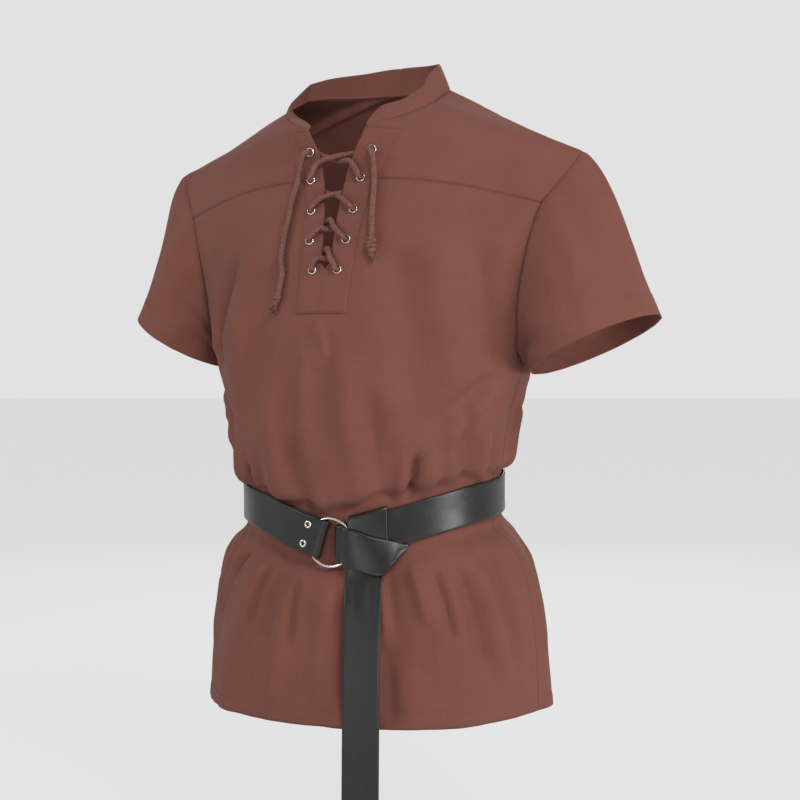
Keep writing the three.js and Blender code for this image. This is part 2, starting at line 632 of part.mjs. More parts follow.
function aroundWaist(distance) {
  return distance < -halfWaist ? distance + 2 * halfWaist : distance;
}
function fadedOut(distance, [from, to]) {
  return smooth((to - Math.abs(distance)) / (to - from));
}
function waistPlace(distance) {
  const wrapped = aroundWaist(distance);
  const side = wrapped < leftStrapEnd ? -1 : 1;
  const s = Math.min(wrapped * side, halfWaist - 1e-6);
  const k = Math.max(1, waist.findIndex((w) => w.s > s));
  const [a, b] = [waist[k - 1], waist[k]];
  const t = (s - a.s) / (b.s - a.s);
  const p = a.p.clone().lerp(b.p, t);
  const up = a.up.clone().lerp(b.up, t).normalize();
  const before = waist[Math.max(0, k - 2)].p;
  const after = waist[Math.min(waist.length - 1, k + 1)].p;
  const along = after.clone().sub(before).normalize();
  const mirror = (v) => vec(v.x * side, v.y, v.z);
  const place = { p: mirror(p), up: mirror(up), along: mirror(along).multiplyScalar(side) };
  if (side < 0) {
    const square = fadedOut(wrapped, kinkFade.left);
    place.up.addScaledVector(place.along, -square * place.up.dot(place.along)).normalize();
  }
  place.out = place.along.clone().cross(place.up).normalize();
  return place;
}
// The two straps run to the ring's centre, so the belt's middle line is shifted a little near the front
function strapShift(distance) {
  const toRight = smooth((distance - kink.from) / (kink.to - kink.from));
  const [left, right] = [fadedOut(distance, kinkFade.left), fadedOut(distance, kinkFade.right)];
  return kink.left * left * (1 - toRight) + kink.right * right * toRight;
}
function onWaist(distance, lift, up = 0) {
  const place = waistPlace(distance);
  place.p.addScaledVector(place.up, strapShift(aroundWaist(distance)));
  return place.p.addScaledVector(place.out, lift).addScaledVector(place.up, up);
}

// Belt strap, from its end turned back round the ring, round the waist to the ring again
const chord = Math.sqrt(ring.radius ** 2 - (strap.width / 2) ** 2);
const wireLeft = ring.centre - chord;
const wireRight = ring.centre + chord;
function wrapPoints(centre, inner, outer, reach, toRight, steps) {
  return Array.from({ length: steps + 1 }, (_, i) => {
    const a = -Math.PI / 2 + (Math.PI * i) / steps;
    const middle = (inner + outer) / 2;
    const along = (toRight ? 1 : -1) * reach * Math.cos(a);
    return { s: centre + along, lift: middle + ((outer - inner) / 2) * Math.sin(a) };
  });
}
const turnedLift = 12;
const foldReach = 7.3;
function strapStations() {
  const stations = [-50, -34, -18].map((s) => ({ s, lift: strap.lift }));
  stations.push(...wrapPoints(wireLeft, strap.lift, turnedLift, foldReach, true, 6));
  stations.push({ s: -18, lift: turnedLift }, { s: -34, lift: turnedLift - 0.4 }, { s: -52, lift: 8.6 },
    { s: -72, lift: 5.4 }, { s: -92, lift: 3.4 });
  const [from, to] = [-106, wireRight - 2 * halfWaist + 0.4];
  const count = 44;
  for (let i = 0; i <= count; i += 1) {
    stations.push({ s: from + ((to - from) * i) / count, lift: strap.lift });
  }
  return stations;
}
// A band of the strap's width and thickness through a list of stations
function band(stations, width, thick) {
  const places = stations.map(({ s, lift }) => ({ p: onWaist(s, lift), up: waistPlace(s).up }));
  const rows = places.map(({ p, up }, i) => {
    const before = places[Math.max(0, i - 1)].p;
    const after = places[Math.min(places.length - 1, i + 1)].p;
    const out = after.clone().sub(before).cross(up).normalize().multiplyScalar(thick / 2);
    const half = up.clone().multiplyScalar(width / 2);
    return [
      p.clone().add(half).add(out), p.clone().sub(half).add(out),
      p.clone().sub(half).sub(out), p.clone().add(half).sub(out),
    ];
  });
  const surface = new Surface();
  surface.grid(rows.map((row) => [...row, row[0]]), false);
  const [first, last] = [rows[0], rows[rows.length - 1]];
  surface.grid([[first[0], first[1]], [first[3], first[2]]], true);
  surface.grid([[last[0], last[1]], [last[3], last[2]]], false);
  return plain(surface);
}
function plain(surface) {
  const geometry = new THREE.BufferGeometry();
  const positions = surface.points.flatMap((p) => [p.x, p.y, p.z]);
  geometry.setAttribute('position', new THREE.Float32BufferAttribute(positions, 3));
  geometry.setIndex(surface.faces.flat());
  return geometry;
}

// Front band of the knot, from the ring's right side to its diagonal fold. top and foot are measured from
// the belt's middle, with a lift from the cloth at each.
const loopRows = table('s top foot liftTop liftFoot', [
  [44.3, 9, -33.5, 15.6, 18.4], [59, -1, -41, 14.4, 19.5], [74.4, -9.5, -48, 11, 19],
  [84.8, -15, -37.5, 9.6, 14.5], [95.1, -19.5, -28, 8.8, 10.4], [101.1, -22, -23.8, 8.2, 8.6],
]);
function loopSurface() {
  const wrap = wrapPoints(wireRight, strap.lift, turnedLift, foldReach, false, 5).map(({ s, lift }, i) => ({
    s, top: strap.width / 2 - i * 0.8, foot: -strap.width / 2 - i * 0.2, liftTop: lift, liftFoot: lift,
  }));
  const start = { s: 35, top: 13, foot: -30.5, liftTop: 15.5, liftFoot: 16.6 };
  const columns = [...wrap, start, ...loopRows].map(({ s, top, foot, liftTop, liftFoot }) => (
    [0, 0.5, 1].map((t) => onWaist(s, liftTop + (liftFoot - liftTop) * t, top + (foot - top) * t))));
  const surface = new Surface();
  surface.grid(columns, true);
  return surface;
}

// Tail of the belt, over the belt's top edge, down behind the front band and on past the hem
const tail = { centre: 57, columns: 4, hang: 61, leftLift: 12.5, rightLift: 6.9, foot: -862 };
const tailRows = table('z y in', [
  [-548, -122.5, 5.5], [-570, -127.5, 3.8], [-600, -132, 2.2], [-640, -136, 0.9], [-690, -138.5, 0],
  [-750, -139.5, 0], [-810, -140, 0], [-846, -140, 0],
]);
function tailSurface() {
  const columns = [];
  for (let j = 0; j <= tail.columns; j += 1) {
    const share = j / tail.columns;
    const s = tail.centre + strap.width * (share - 0.5);
    const lift = tail.leftLift + (tail.rightLift - tail.leftLift) * share;
    const edge = strap.width / 2;
    const onBelt = [
      { up: edge + 3.3, lift: strap.lift }, { up: edge + 3.3, lift: (strap.lift + lift) / 2 },
      { up: edge + 1.4, lift: lift - 0.6 },
      { up: edge - 4, lift }, { up: 0, lift }, { up: -edge, lift },
    ].map(({ up, lift: height }) => onWaist(s, height, up));
    const x = tail.hang + strap.width * (share - 0.5);
    const point = Math.abs(share - 0.5) * 2;
    const hanging = tailRows.map((row) => vec(x - row.in, row.y + 5 * share - 2.5, row.z));
    hanging.push(vec(x, tailRows[tailRows.length - 1].y + 5 * share - 2.5, tail.foot + 12 * point * point));
    columns.push([...onBelt, ...hanging]);
  }
  const surface = new Surface();
  surface.grid(columns, false);
  return surface;
}

// Ring, hung between the two turns of the strap
function ringGeometry() {
  const { along, out } = waistPlace(ring.centre);
  const turn = new THREE.Matrix4().makeBasis(along, out.clone().cross(along), out);
  const centre = onWaist(ring.centre, ring.lift, -ring.drop);
  const torus = new THREE.TorusGeometry(ring.radius, ring.wire, 8, 28);
  return torus.applyMatrix4(turn).translate(centre.x, centre.y, centre.z);
}

// Hollow rivets through the turned-back end
const rivet = { outer: 4.4, inner: 2.2, rise: 1, s: -15, apart: 11 };
function rivetGeometry(up) {
  const place = waistPlace(rivet.s);
  const seat = turnedLift - 0.1 + strap.thick / 2 + seamGap;
  const profile = [
    [rivet.inner, seat], [rivet.outer, seat], [rivet.outer - 0.6, seat + rivet.rise],
    [rivet.inner, seat + rivet.rise], [rivet.inner, seat],
  ].map(([r, h]) => new THREE.Vector2(r, h));
  return turnedOut(new THREE.LatheGeometry(profile, 12), { out: place.out, p: onWaist(rivet.s, 0, up) });
}

// Materials
const fabric = (color) => new THREE.MeshStandardMaterial({ color, roughness: 0.9, metalness: 0 });
const materials = {
  cloth: fabric(0x80504a),
  lace: fabric(0x74483f),
  leather: new THREE.MeshStandardMaterial({ color: 0x2c2927, roughness: 0.42, metalness: 0 }),
  metal: new THREE.MeshStandardMaterial({ color: 0xc9beb4, roughness: 0.28, metalness: 1 }),
};

const tunic = new THREE.Group();
tunic.name = 'medieval_tunic';
function add(name, geometry, material) {
  const mesh = new THREE.Mesh(geometry, material);
  mesh.name = name;
  tunic.add(mesh);
}
add('front', cutHoles(wall(front, -cloth / 2, cloth / 2)), materials.cloth);
add('back', wall(back, -cloth / 2, cloth / 2), materials.cloth);
add('yoke', cutHoles(wall(yoke, -cloth / 2, cloth / 2)), materials.cloth);
add('sleeve_left', wall(sleeveLeft, -cloth / 2, cloth / 2, armholeGap), materials.cloth);
add('sleeve_right', wall(sleeveRight, -cloth / 2, cloth / 2, armholeGap), materials.cloth);
add('collar', wall(collar, -cloth / 2, cloth / 2), materials.cloth);
add('placket', cutHoles(wall(placketSurface(), placketInner, placketOuter)), materials.cloth);
for (const { name, place } of eyeletPlaces) add(name, eyeletGeometry(place), materials.metal);
add('lace', tube(lacePoints(), lace.radius, lace.steps), materials.lace);
for (const [name, { side, rows, knot }] of Object.entries(tails)) {
  const points = rows.map((row) => tailPoint(side, row));
  add(`lace_end_${name}`, tube(points, lace.endRadius, tailSteps), materials.lace);
  add(`lace_knot_${name}`, knotGeometry(side, knot), materials.lace);
}
add('belt', band(strapStations(), strap.width, strap.thick), materials.leather);
add('belt_loop', wall(loopSurface(), -strap.thick / 2, strap.thick / 2), materials.leather);
add('belt_tail', wall(tailSurface(), -strap.thick / 2, strap.thick / 2), materials.leather);
add('ring', ringGeometry(), materials.metal);
add('rivet_top', rivetGeometry(rivet.apart), materials.metal);
add('rivet_low', rivetGeometry(-rivet.apart), materials.metal);

export default tunic;
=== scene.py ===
import math
import bpy
import bmesh
import numpy as np
from mathutils import Matrix, Vector, noise


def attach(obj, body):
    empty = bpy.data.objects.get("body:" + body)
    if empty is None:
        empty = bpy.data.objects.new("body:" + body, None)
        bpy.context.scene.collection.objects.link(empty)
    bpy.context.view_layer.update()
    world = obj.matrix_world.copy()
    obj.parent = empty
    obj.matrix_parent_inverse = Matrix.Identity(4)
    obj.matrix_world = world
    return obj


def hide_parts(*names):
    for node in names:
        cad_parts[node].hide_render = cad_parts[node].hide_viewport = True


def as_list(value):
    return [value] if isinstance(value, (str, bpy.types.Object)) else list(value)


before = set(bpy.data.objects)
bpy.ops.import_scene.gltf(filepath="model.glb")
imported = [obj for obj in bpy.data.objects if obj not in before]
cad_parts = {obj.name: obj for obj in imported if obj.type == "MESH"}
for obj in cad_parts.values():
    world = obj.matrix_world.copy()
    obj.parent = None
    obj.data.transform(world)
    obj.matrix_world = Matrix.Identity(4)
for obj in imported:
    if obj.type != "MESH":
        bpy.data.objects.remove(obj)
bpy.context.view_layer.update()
mm = 0.001  # shapes are worked out in millimetres and built in metres

# ---------- camera, at the wearer's left front
camera = {"azimuth": 28.0, "distance": 1.955, "height": -0.315, "focalPixels": 1710.0, "axisX": 371.0,
          "horizonY": 368.0}


def placeCamera(c):
    data = bpy.data.cameras.new("camera")
    data.sensor_width = 36.0
    data.lens = c["focalPixels"] * 36.0 / 800.0
    cam = bpy.data.objects.new("camera", data)
    bpy.context.scene.collection.objects.link(cam)
    az = math.radians(c["azimuth"])
    yaw = math.atan((400.0 - c["axisX"]) / c["focalPixels"])
    pitch = -math.atan((400.0 - c["horizonY"]) / c["focalPixels"])
    ahead = Vector((-math.sin(az), math.cos(az), 0.0))
    right = Vector((math.cos(az), math.sin(az), 0.0))
    place = -ahead * c["distance"] + Vector((0, 0, c["height"]))
    look = ahead * math.cos(yaw) + right * math.sin(yaw)
    look = look * math.cos(pitch) + Vector((0, 0, 1)) * math.sin(pitch)
    side = look.cross(Vector((0, 0, 1))).normalized()
    up = side.cross(look)
    cam.matrix_world = Matrix((
        (side.x, up.x, -look.x, place.x), (side.y, up.y, -look.y, place.y),
        (side.z, up.z, -look.z, place.z), (0, 0, 0, 1)))
    data.clip_end = 60.0
    bpy.context.scene.camera = cam


placeCamera(camera)
print("camera placed")

# ---------- sizes of the garment, in millimetres
garment = {
    "cloth": 1.2, "placketLift": 1.45, "placketCloth": 0.9, "placketBottom": 6.95,
    "yokeSeam": 9.4, "neckEnd": 10.6, "ridge": 13, "underarm": 6.5, "beltLevel": 3.65, "gridStep": 3.8,
    "yokeStep": 3.2,
    "outerColumns": 62, "placketColumns": 8, "creaseDepth": 2.6, "degreeLength": 2.6, "seamRoll": 0.75,
    "hemDepth": 15.0, "cuffDepth": 25.0, "seed": 7,
}  # levels are those of the sections below, from 0 at the hem to 13 at the shoulder
neck = {"halfWidth": 96.0, "halfDepth": 80.0, "centreY": -5.0}
neckHeights = np.array([(0, -58), (22, -52), (66, -28), (90, -10), (112, -1), (140, 3), (180, 4)], float)
slitOpening = np.array([(-207, 0), (-201, 5.2), (-185, 6.7), (-160, 7.6), (-130, 10.8), (-111, 13.5),
                        (-85, 20),
                        (-52, 36)], float)  # height, half opening


def between(xs, ys, at):  # smooth through the table's rows, without overshoot
    xs, ys, at = np.asarray(xs, float), np.asarray(ys, float), np.asarray(at, float)
    step = np.diff(xs)
    slope = np.diff(ys) / step
    tangent = np.zeros(len(xs))
    tangent[0], tangent[-1] = slope[0], slope[-1]
    before, after = slope[:-1], slope[1:]
    same = before * after > 0
    tangent[1:-1][same] = 2 * before[same] * after[same] / (before[same] + after[same])
    k = np.clip(np.searchsorted(xs, at, side="left") - 1, 0, len(xs) - 2)
    width = step[k]
    t = np.clip((at - xs[k]) / width, 0, 1)
    return ((2 * t**3 - 3 * t**2 + 1) * ys[k] + (t**3 - 2 * t**2 + t) * width * tangent[k]
            + (3 * t**2 - 2 * t**3) * ys[k + 1] + (t**3 - t**2) * width * tangent[k + 1])


def smooth(t):
    s = np.clip(t, 0, 1)
    return s * s * (3 - 2 * s)


def bell(x, width):  # 1 at nought, falling away over the width
    return np.exp(-((x / width) ** 2))


def bezier(a, b, c, d, t):
    return (1 - t)**3 * a + 3 * (1 - t)**2 * t * b + 3 * (1 - t) * t**2 * c + t**3 * d


def resampled(spots, run, p):  # points of a line at the given distances along it
    return np.stack([np.interp(spots, run, p[:, k]) for k in range(3)], -1)


def lineRun(p):  # distance travelled along a line of points
    return travelled(p[None], 1)[0]


def unit(v):
    return v / np.linalg.norm(v)


def neckStart(angle):
    a = math.radians(angle)
    z = float(between(neckHeights[:, 0], neckHeights[:, 1], abs(angle)))
    return (neck["halfWidth"] * math.sin(a), neck["centreY"] - neck["halfDepth"] * math.cos(a), z)


# Sections from hem to shoulder, for the wearer's left half: level, start, end, then the shape near each
ridge = (13, neckStart(105), (255, 4, -82), (46, 0, -26), (62, 2, 25))
frontRows = [
    (0, (0, -138, -700), (199, 15, -692), (122, 0, 0), (0, -92, 0)),
    (1, (0, -136, -640), (196, 13, -632), (120, 0, 0), (0, -90, 0)),
    (2, (0, -131, -585), (187, 11, -565), (112, 0, 2), (0, -84, -2)),
    (2.7, (0, -123, -549), (169, 8, -510), (102, 0, 16), (0, -76, -6)),
    (3.3, (0, -112, -530), (149, 6, -487), (92, 0, 30), (0, -70, -6)),
    (4, (0, -112, -476), (149, 6, -433), (92, 0, 30), (0, -70, -6)),
    (4.6, (0, -122, -461), (160, 5, -420), (98, 0, 20), (0, -74, -4)),
    (5.2, (0, -127, -415), (166, 5, -385), (104, 0, 7), (0, -78, -2)),
    (6, (0, -127, -345), (177, 4, -342), (110, 0, 0), (0, -80, 0)),
    (6.5, (0, -123, -300), (187, 2, -314), (114, 0, 0), (2, -76, 0)),
    (6.95, (0, -117, -259), (191, -26, -292), (114, 0, 0), (18, -54, 4)),
    (8, (0, -105, -207), (197, -36, -238), (104, 0, -2), (34, -40, 6)),
    (8.7, (0, -95, -160), (207, -37, -190), (90, 0, -4), (44, -32, 8)),
    (9.4, (0, -84, -111), (222, -30, -139), (80, 2, 8), (52, -26, 14)),
    (10, (0, -79.5, -80), (234, -20, -120), (70, 6, -1), (56, -20, 15)),
    (10.6, neckStart(22), (243, -12, -105), (62, 8, -2), (58, -14, 18)),
    (11.3, neckStart(48), (249, -5, -94), (54, 8, -8), (60, -9, 21)),
    (12.1, neckStart(76), (253, 0, -86), (48, 5, -18), (62, -3, 23)),
    ridge,
]
backRows = [
    (0, (0, 166, -696), (199, 15, -692), (122, 0, 0), (0, 92, 0)),
    (1, (0, 162, -635), (196, 13, -632), (120, 0, 0), (0, 90, 0)),
    (2, (0, 152, -560), (187, 11, -565), (112, 0, 0), (0, 84, 2)),
    (2.7, (0, 137, -492), (169, 8, -510), (102, 0, 0), (0, 76, 6)),
    (3.3, (0, 119, -463), (149, 6, -487), (92, 0, 0), (0, 70, 8)),
    (4, (0, 119, -410), (149, 6, -433), (92, 0, 0), (0, 70, 8)),
    (4.6, (0, 125, -398), (160, 5, -420), (98, 0, 0), (0, 74, 6)),
    (5.2, (0, 130, -370), (166, 5, -385), (104, 0, 0), (0, 78, 2)),
    (6, (0, 136, -328), (177, 4, -342), (110, 0, 0), (0, 80, 0)),
    (6.5, (0, 138, -290), (187, 2, -314), (114, 0, 0), (2, 78, 0)),
    (6.95, (0, 138, -250), (193, 32, -290), (116, 0, 0), (14, 60, 2)),
    (8, (0, 133, -190), (202, 46, -236), (112, 0, 0), (30, 48, 4)),
    (8.7, (0, 124, -140), (214, 46, -188), (104, 0, 0), (40, 38, 8)),
    (9.4, (0, 110, -92), (227, 38, -146), (94, 0, 0), (48, 30, 10)),
    (10, (0, 97, -52), (237, 28, -122), (84, 0, -4), (54, 24, 15)),
    (10.6, neckStart(180), (245, 20, -106), (74, 4, -8), (58, 18, 18)),
    (11.3, neckStart(152), (250, 14, -94), (62, 3, -16), (60, 12, 21)),
    (12.1, neckStart(127), (253, 9, -86), (52, 1, -23), (62, 7, 23)),
    ridge,
]
tables = {name: np.array([(r[0], *r[1], *r[2], *r[3], *r[4]) for r in rows], float)
          for name, rows in (("front", frontRows), ("back", backRows))}

# Largest folds: degrees from the front at the fold's top and foot, heights, width in degrees, depth
folds = [
    (37, 42, -518, -650, 6, -7), (24, 29, -540, -690, 7, -4), (52, 60, -508, -690, 8, 6),
    (78, 84, -496, -640, 6, -7),
    (96, 104, -500, -690, 8, 7), (2, 4, -560, -695, 7, -4), (-22, -30, -525, -640, 6, -6),
    (-36, -46, -512, -690, 7, 6),
    (-60, -66, -505, -650, 7, -6), (-84, -92, -500, -690, 8, 6), (128, 132, -490, -650, 7, -6),
    (152, 156, -485, -690, 8, 6), (-172, -174, -485, -650, 7, -6), (-146, -150, -488, -690, 8, 6),
    (-118, -122, -494, -640, 7, -6), (38, 38, -380, -484, 5, -6), (60, 56, -400, -462, 9, 4),
    (84, 80, -390, -446, 6, -5), (-40, -37, -400, -472, 5, -6), (-62, -60, -400, -456, 9, 4),
    (-4, 0, -400, -480, 7, -3), (140, 140, -360, -430, 7, -5), (174, 174, -350, -424, 8, -5),
    (-140, -140, -360, -430, 7, -5),
]


def folded(p):
    around = np.degrees(np.arctan2(p[..., 0], -p[..., 1]))
    push = np.zeros(around.shape)
    for top, foot, high, low, width, depth in folds:
        down = (high - p[..., 2]) / (high - low)
        off = (around - top - (foot - top) * down + 540) % 360 - 180
        fade = smooth((high - p[..., 2]) / 34) * smooth((p[..., 2] - low) / 34 + (1 if low < -680 else 0))
        push += depth * fade * bell(off, width)
    reach = np.hypot(p[..., 0], p[..., 1])
    q = p.copy()
    q[..., 0] *= 1 + push / reach
    q[..., 1] *= 1 + push / reach
    return q


def sectionPoint(which, at, u, side):  # u runs from 0 at the slit or centre to 1 at the side or armhole
    at, u = np.broadcast_arrays(np.asarray(at, float), np.asarray(u, float))
    rows = tables[which]
    v = np.stack([between(rows[:, 0], rows[:, k], at) for k in range(1, 13)], -1)
    start, end = v[..., 0:3].copy(), v[..., 3:6]
    if which == "front":
        slit = between(slitOpening[:, 0], slitOpening[:, 1], start[..., 2])
        start[..., 0] = np.where(at < garment["neckEnd"] - 1e-9, slit, start[..., 0])
    leave = start + v[..., 6:9]
    arrive = end + v[..., 9:12] * np.array([-1, 1, 1])
    t = u[..., None]
    p = bezier(start, leave, arrive, end, t)
    p[..., 0] *= side
    return folded(p)


def uAtDistance(which, at, distance, side):
    at, distance = np.broadcast_arrays(np.asarray(at, float), np.asarray(distance, float))
    low, high = np.zeros(at.shape), np.full(at.shape, 0.6)
    start = sectionPoint(which, at, low, side)
    for _ in range(22):
        middle = (low + high) / 2
        near = np.linalg.norm(sectionPoint(which, at, middle, side) - start, axis=-1) < distance
        low, high = np.where(near, middle, low), np.where(near, high, middle)
    return (low + high) / 2


# ---------- mesh helpers
class Shell:  # a sheet of cloth: grids of points whose equal points are shared, with a weave UV in metres
    def __init__(self):
        self.points, self.faces, self.uvs, self.count = [], [], [], 0

    def add(self, points, uv, flip):
        rows, cols = points.shape[:2]
        ids = self.count + np.arange(rows * cols).reshape(rows, cols)
        quads = np.stack([ids[:-1, :-1], ids[:-1, 1:], ids[1:, 1:], ids[1:, :-1]], -1).reshape(-1, 4)
        self.faces.append(quads[:, ::-1] if flip else quads)
        self.points.append(points.reshape(-1, 3))
        self.uvs.append(uv.reshape(-1, 2))
        self.count += rows * cols

    def build(self, name, material, thickness=0.0, slot="tunic_cloth"):
        points, uvs = np.concatenate(self.points) * mm, np.concatenate(self.uvs) * mm
        faces = np.concatenate(self.faces)
        mesh = bpy.data.meshes.new(name)
        mesh.from_pydata(points.tolist(), [], faces.tolist())
        layer = mesh.uv_layers.new(name="weave")
        order = np.zeros(len(mesh.loops), np.int64)
        mesh.loops.foreach_get("vertex_index", order)
        layer.data.foreach_set("uv", uvs[order].ravel().astype(np.float32))
        bm = bmesh.new()
        bm.from_mesh(mesh)
        bmesh.ops.remove_doubles(bm, verts=bm.verts, dist=2e-6)
        bmesh.ops.dissolve_degenerate(bm, edges=bm.edges, dist=1e-7)
        bm.to_mesh(mesh)
        bm.free()
        obj = inScene(name, mesh)
        mesh.materials.append(material)
        if thickness:
            wall = obj.modifiers.new("wall", "SOLIDIFY")
            wall.thickness, wall.offset, wall.use_even_offset = thickness * mm, 0.0, False
            applyModifiers(obj)
        return finishPiece(obj)


def inScene(name, data):
    obj = bpy.data.objects.new(name, data)
    bpy.context.scene.collection.objects.link(obj)
    return obj


def finishPiece(obj):  # smooth shading, and what it rides on
    obj.data.polygons.foreach_set("use_smooth", [True] * len(obj.data.polygons))
    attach(obj, "root")
    return obj


def facesOutward(mesh):
    bm = bmesh.new()
    bm.from_mesh(mesh)
    bmesh.ops.recalc_face_normals(bm, faces=bm.faces)
    bm.to_mesh(mesh)
    bm.free()


def applyModifiers(obj):  # the evaluated shape becomes the object's own plain mesh
    bpy.context.view_layer.update()
    mesh = bpy.data.meshes.new_from_object(obj.evaluated_get(bpy.context.evaluated_depsgraph_get()))
    obj.modifiers.clear()
    obj.data = mesh


def gridNormals(p):
    du, dv = np.gradient(p, axis=1), np.gradient(p, axis=0)
    n = np.cross(du, dv)
    return n / np.maximum(np.linalg.norm(n, axis=-1, keepdims=True), 1e-9)


def travelled(p, axis):  # distance along the grid's rows (axis 1) or columns (axis 0)
    step = np.linalg.norm(np.diff(p, axis=axis), axis=-1)
    zero = np.zeros_like(np.take(step, [0], axis=axis))
    return np.concatenate([zero, np.cumsum(step, axis=axis)], axis=axis)


# ---------- materials
class Sock:  # one value or colour in a material, so that sums are written as Python
    def __init__(self, mat, out):
        self.mat, self.out = mat, out

    def math(self, operation, *others):
        return self.mat.node("ShaderNodeMath", {"operation": operation},
                             {0: self, **dict(enumerate(others, 1))})

    def __add__(self, other):
        return self.math("ADD", other)

    def __mul__(self, other):
        return self.math("MULTIPLY", other)

    __radd__, __rmul__ = __add__, __mul__

    def between(self, low, high):  # 0 at low, 1 at high
        return self.mat.node("ShaderNodeMapRange", {"clamp": True},
                             {"Value": self, "From Min": low, "From Max": high})


class Finish:  # a Principled material
    def __init__(self, name, roughness, metallic=0.0, **fixed):
        self.material = bpy.data.materials.new(name)
        self.material.use_nodes = True
        self.nodes, self.links = self.material.node_tree.nodes, self.material.node_tree.links
        self.shader = self.nodes["Principled BSDF"]
        self.shader.inputs["Roughness"].default_value = roughness
        self.shader.inputs["Metallic"].default_value = metallic
        for socket, value in fixed.items():
            self.shader.inputs[socket.replace("_", " ")].default_value = value

    def node(self, kind, settings=None, values=None, output=0):
        made = self.nodes.new(kind)
        for name, value in (settings or {}).items():
            setattr(made, name, value)
        for name, value in (values or {}).items():
            if isinstance(value, Sock):
                self.links.new(value.out, made.inputs[name])
            else:
                made.inputs[name].default_value = value
        return Sock(self, made.outputs[output])

    def mix(self, a, b, factor):
        return self.node("ShaderNodeMix", {"data_type": "RGBA"}, {0: factor, 6: a, 7: b}, 2)

    def place(self, scale=(1, 1, 1), uv=False):
        source = (self.node("ShaderNodeUVMap", {"uv_map": "weave"}) if uv
                  else self.node("ShaderNodeTexCoord", output=3))
        return self.node("ShaderNodeMapping", {}, {"Vector": source, "Scale": scale})

    def noise(self, vector, scale, detail=3.0, roughness=0.5):
        return self.node("ShaderNodeTexNoise", {}, {"Vector": vector, "Scale": scale, "Detail": detail,
                                                    "Roughness": roughness})

    def bump(self, height, strength, distance, below=None):
        values = {"Height": height, "Strength": strength, "Distance": distance}
        if below is not None:
            values["Normal"] = below
        return self.node("ShaderNodeBump", {}, values)

    def feed(self, **sockets):
        for name, value in sockets.items():
            self.links.new(value.out, self.shader.inputs[name.replace("_", " ")])


clothLook = {"base": (0.17, 0.062, 0.0455, 1), "light": (0.208, 0.079, 0.059, 1),
             "dark": (0.122, 0.043, 0.032, 1),
             "threadsPerMetre": 1250.0, "slubScale": 620.0}


def clothFinish(name, look, tint=1.0):
    f = Finish(name, 0.92, Sheen_Weight=0.06, Sheen_Roughness=0.5, Specular_IOR_Level=0.15)
    shade = [tuple(c * tint for c in look[k][:3]) + (1,) for k in ("dark", "base", "light")]
    uv = f.place(uv=True)
    body = f.place()
    blotch = f.noise(body, 9.0, 4.0, 0.6).between(0.3, 0.7)
    slubAcross = f.noise(f.place((0.05, 1, 1), uv=True), look["slubScale"], 2.0)
    slubDown = f.noise(f.place((1, 0.05, 1), uv=True), look["slubScale"], 2.0)
    threads = [f.node("ShaderNodeTexWave", {"wave_type": "BANDS", "bands_direction": way}, {
        "Vector": uv, "Scale": look["threadsPerMetre"] / 20 * 3.1, "Distortion": 0.6,
        "Detail": 1.0}) for way in "XY"]
    weave = threads[0] * threads[1] + slubAcross * 0.5 + slubDown * 0.5
    streak = (slubAcross * 0.5 + slubDown * 0.5).between(0.36, 0.64)
    colour = f.mix(shade[0], shade[2], streak * 0.3 + blotch * 0.45)
    colour = f.mix(colour, shade[1], 0.45)
    lumps = f.bump(f.noise(body, 120.0, 3.0), 0.18, 0.0012)
    f.feed(Base_Color=colour, Normal=f.bump(weave, 0.2, 0.0003, lumps))
    return f.material


tunicCloth = clothFinish("tunic_cloth", clothLook)
sewingThread = clothFinish("sewing_thread", clothLook, 1.45)
print("cloth finish made")

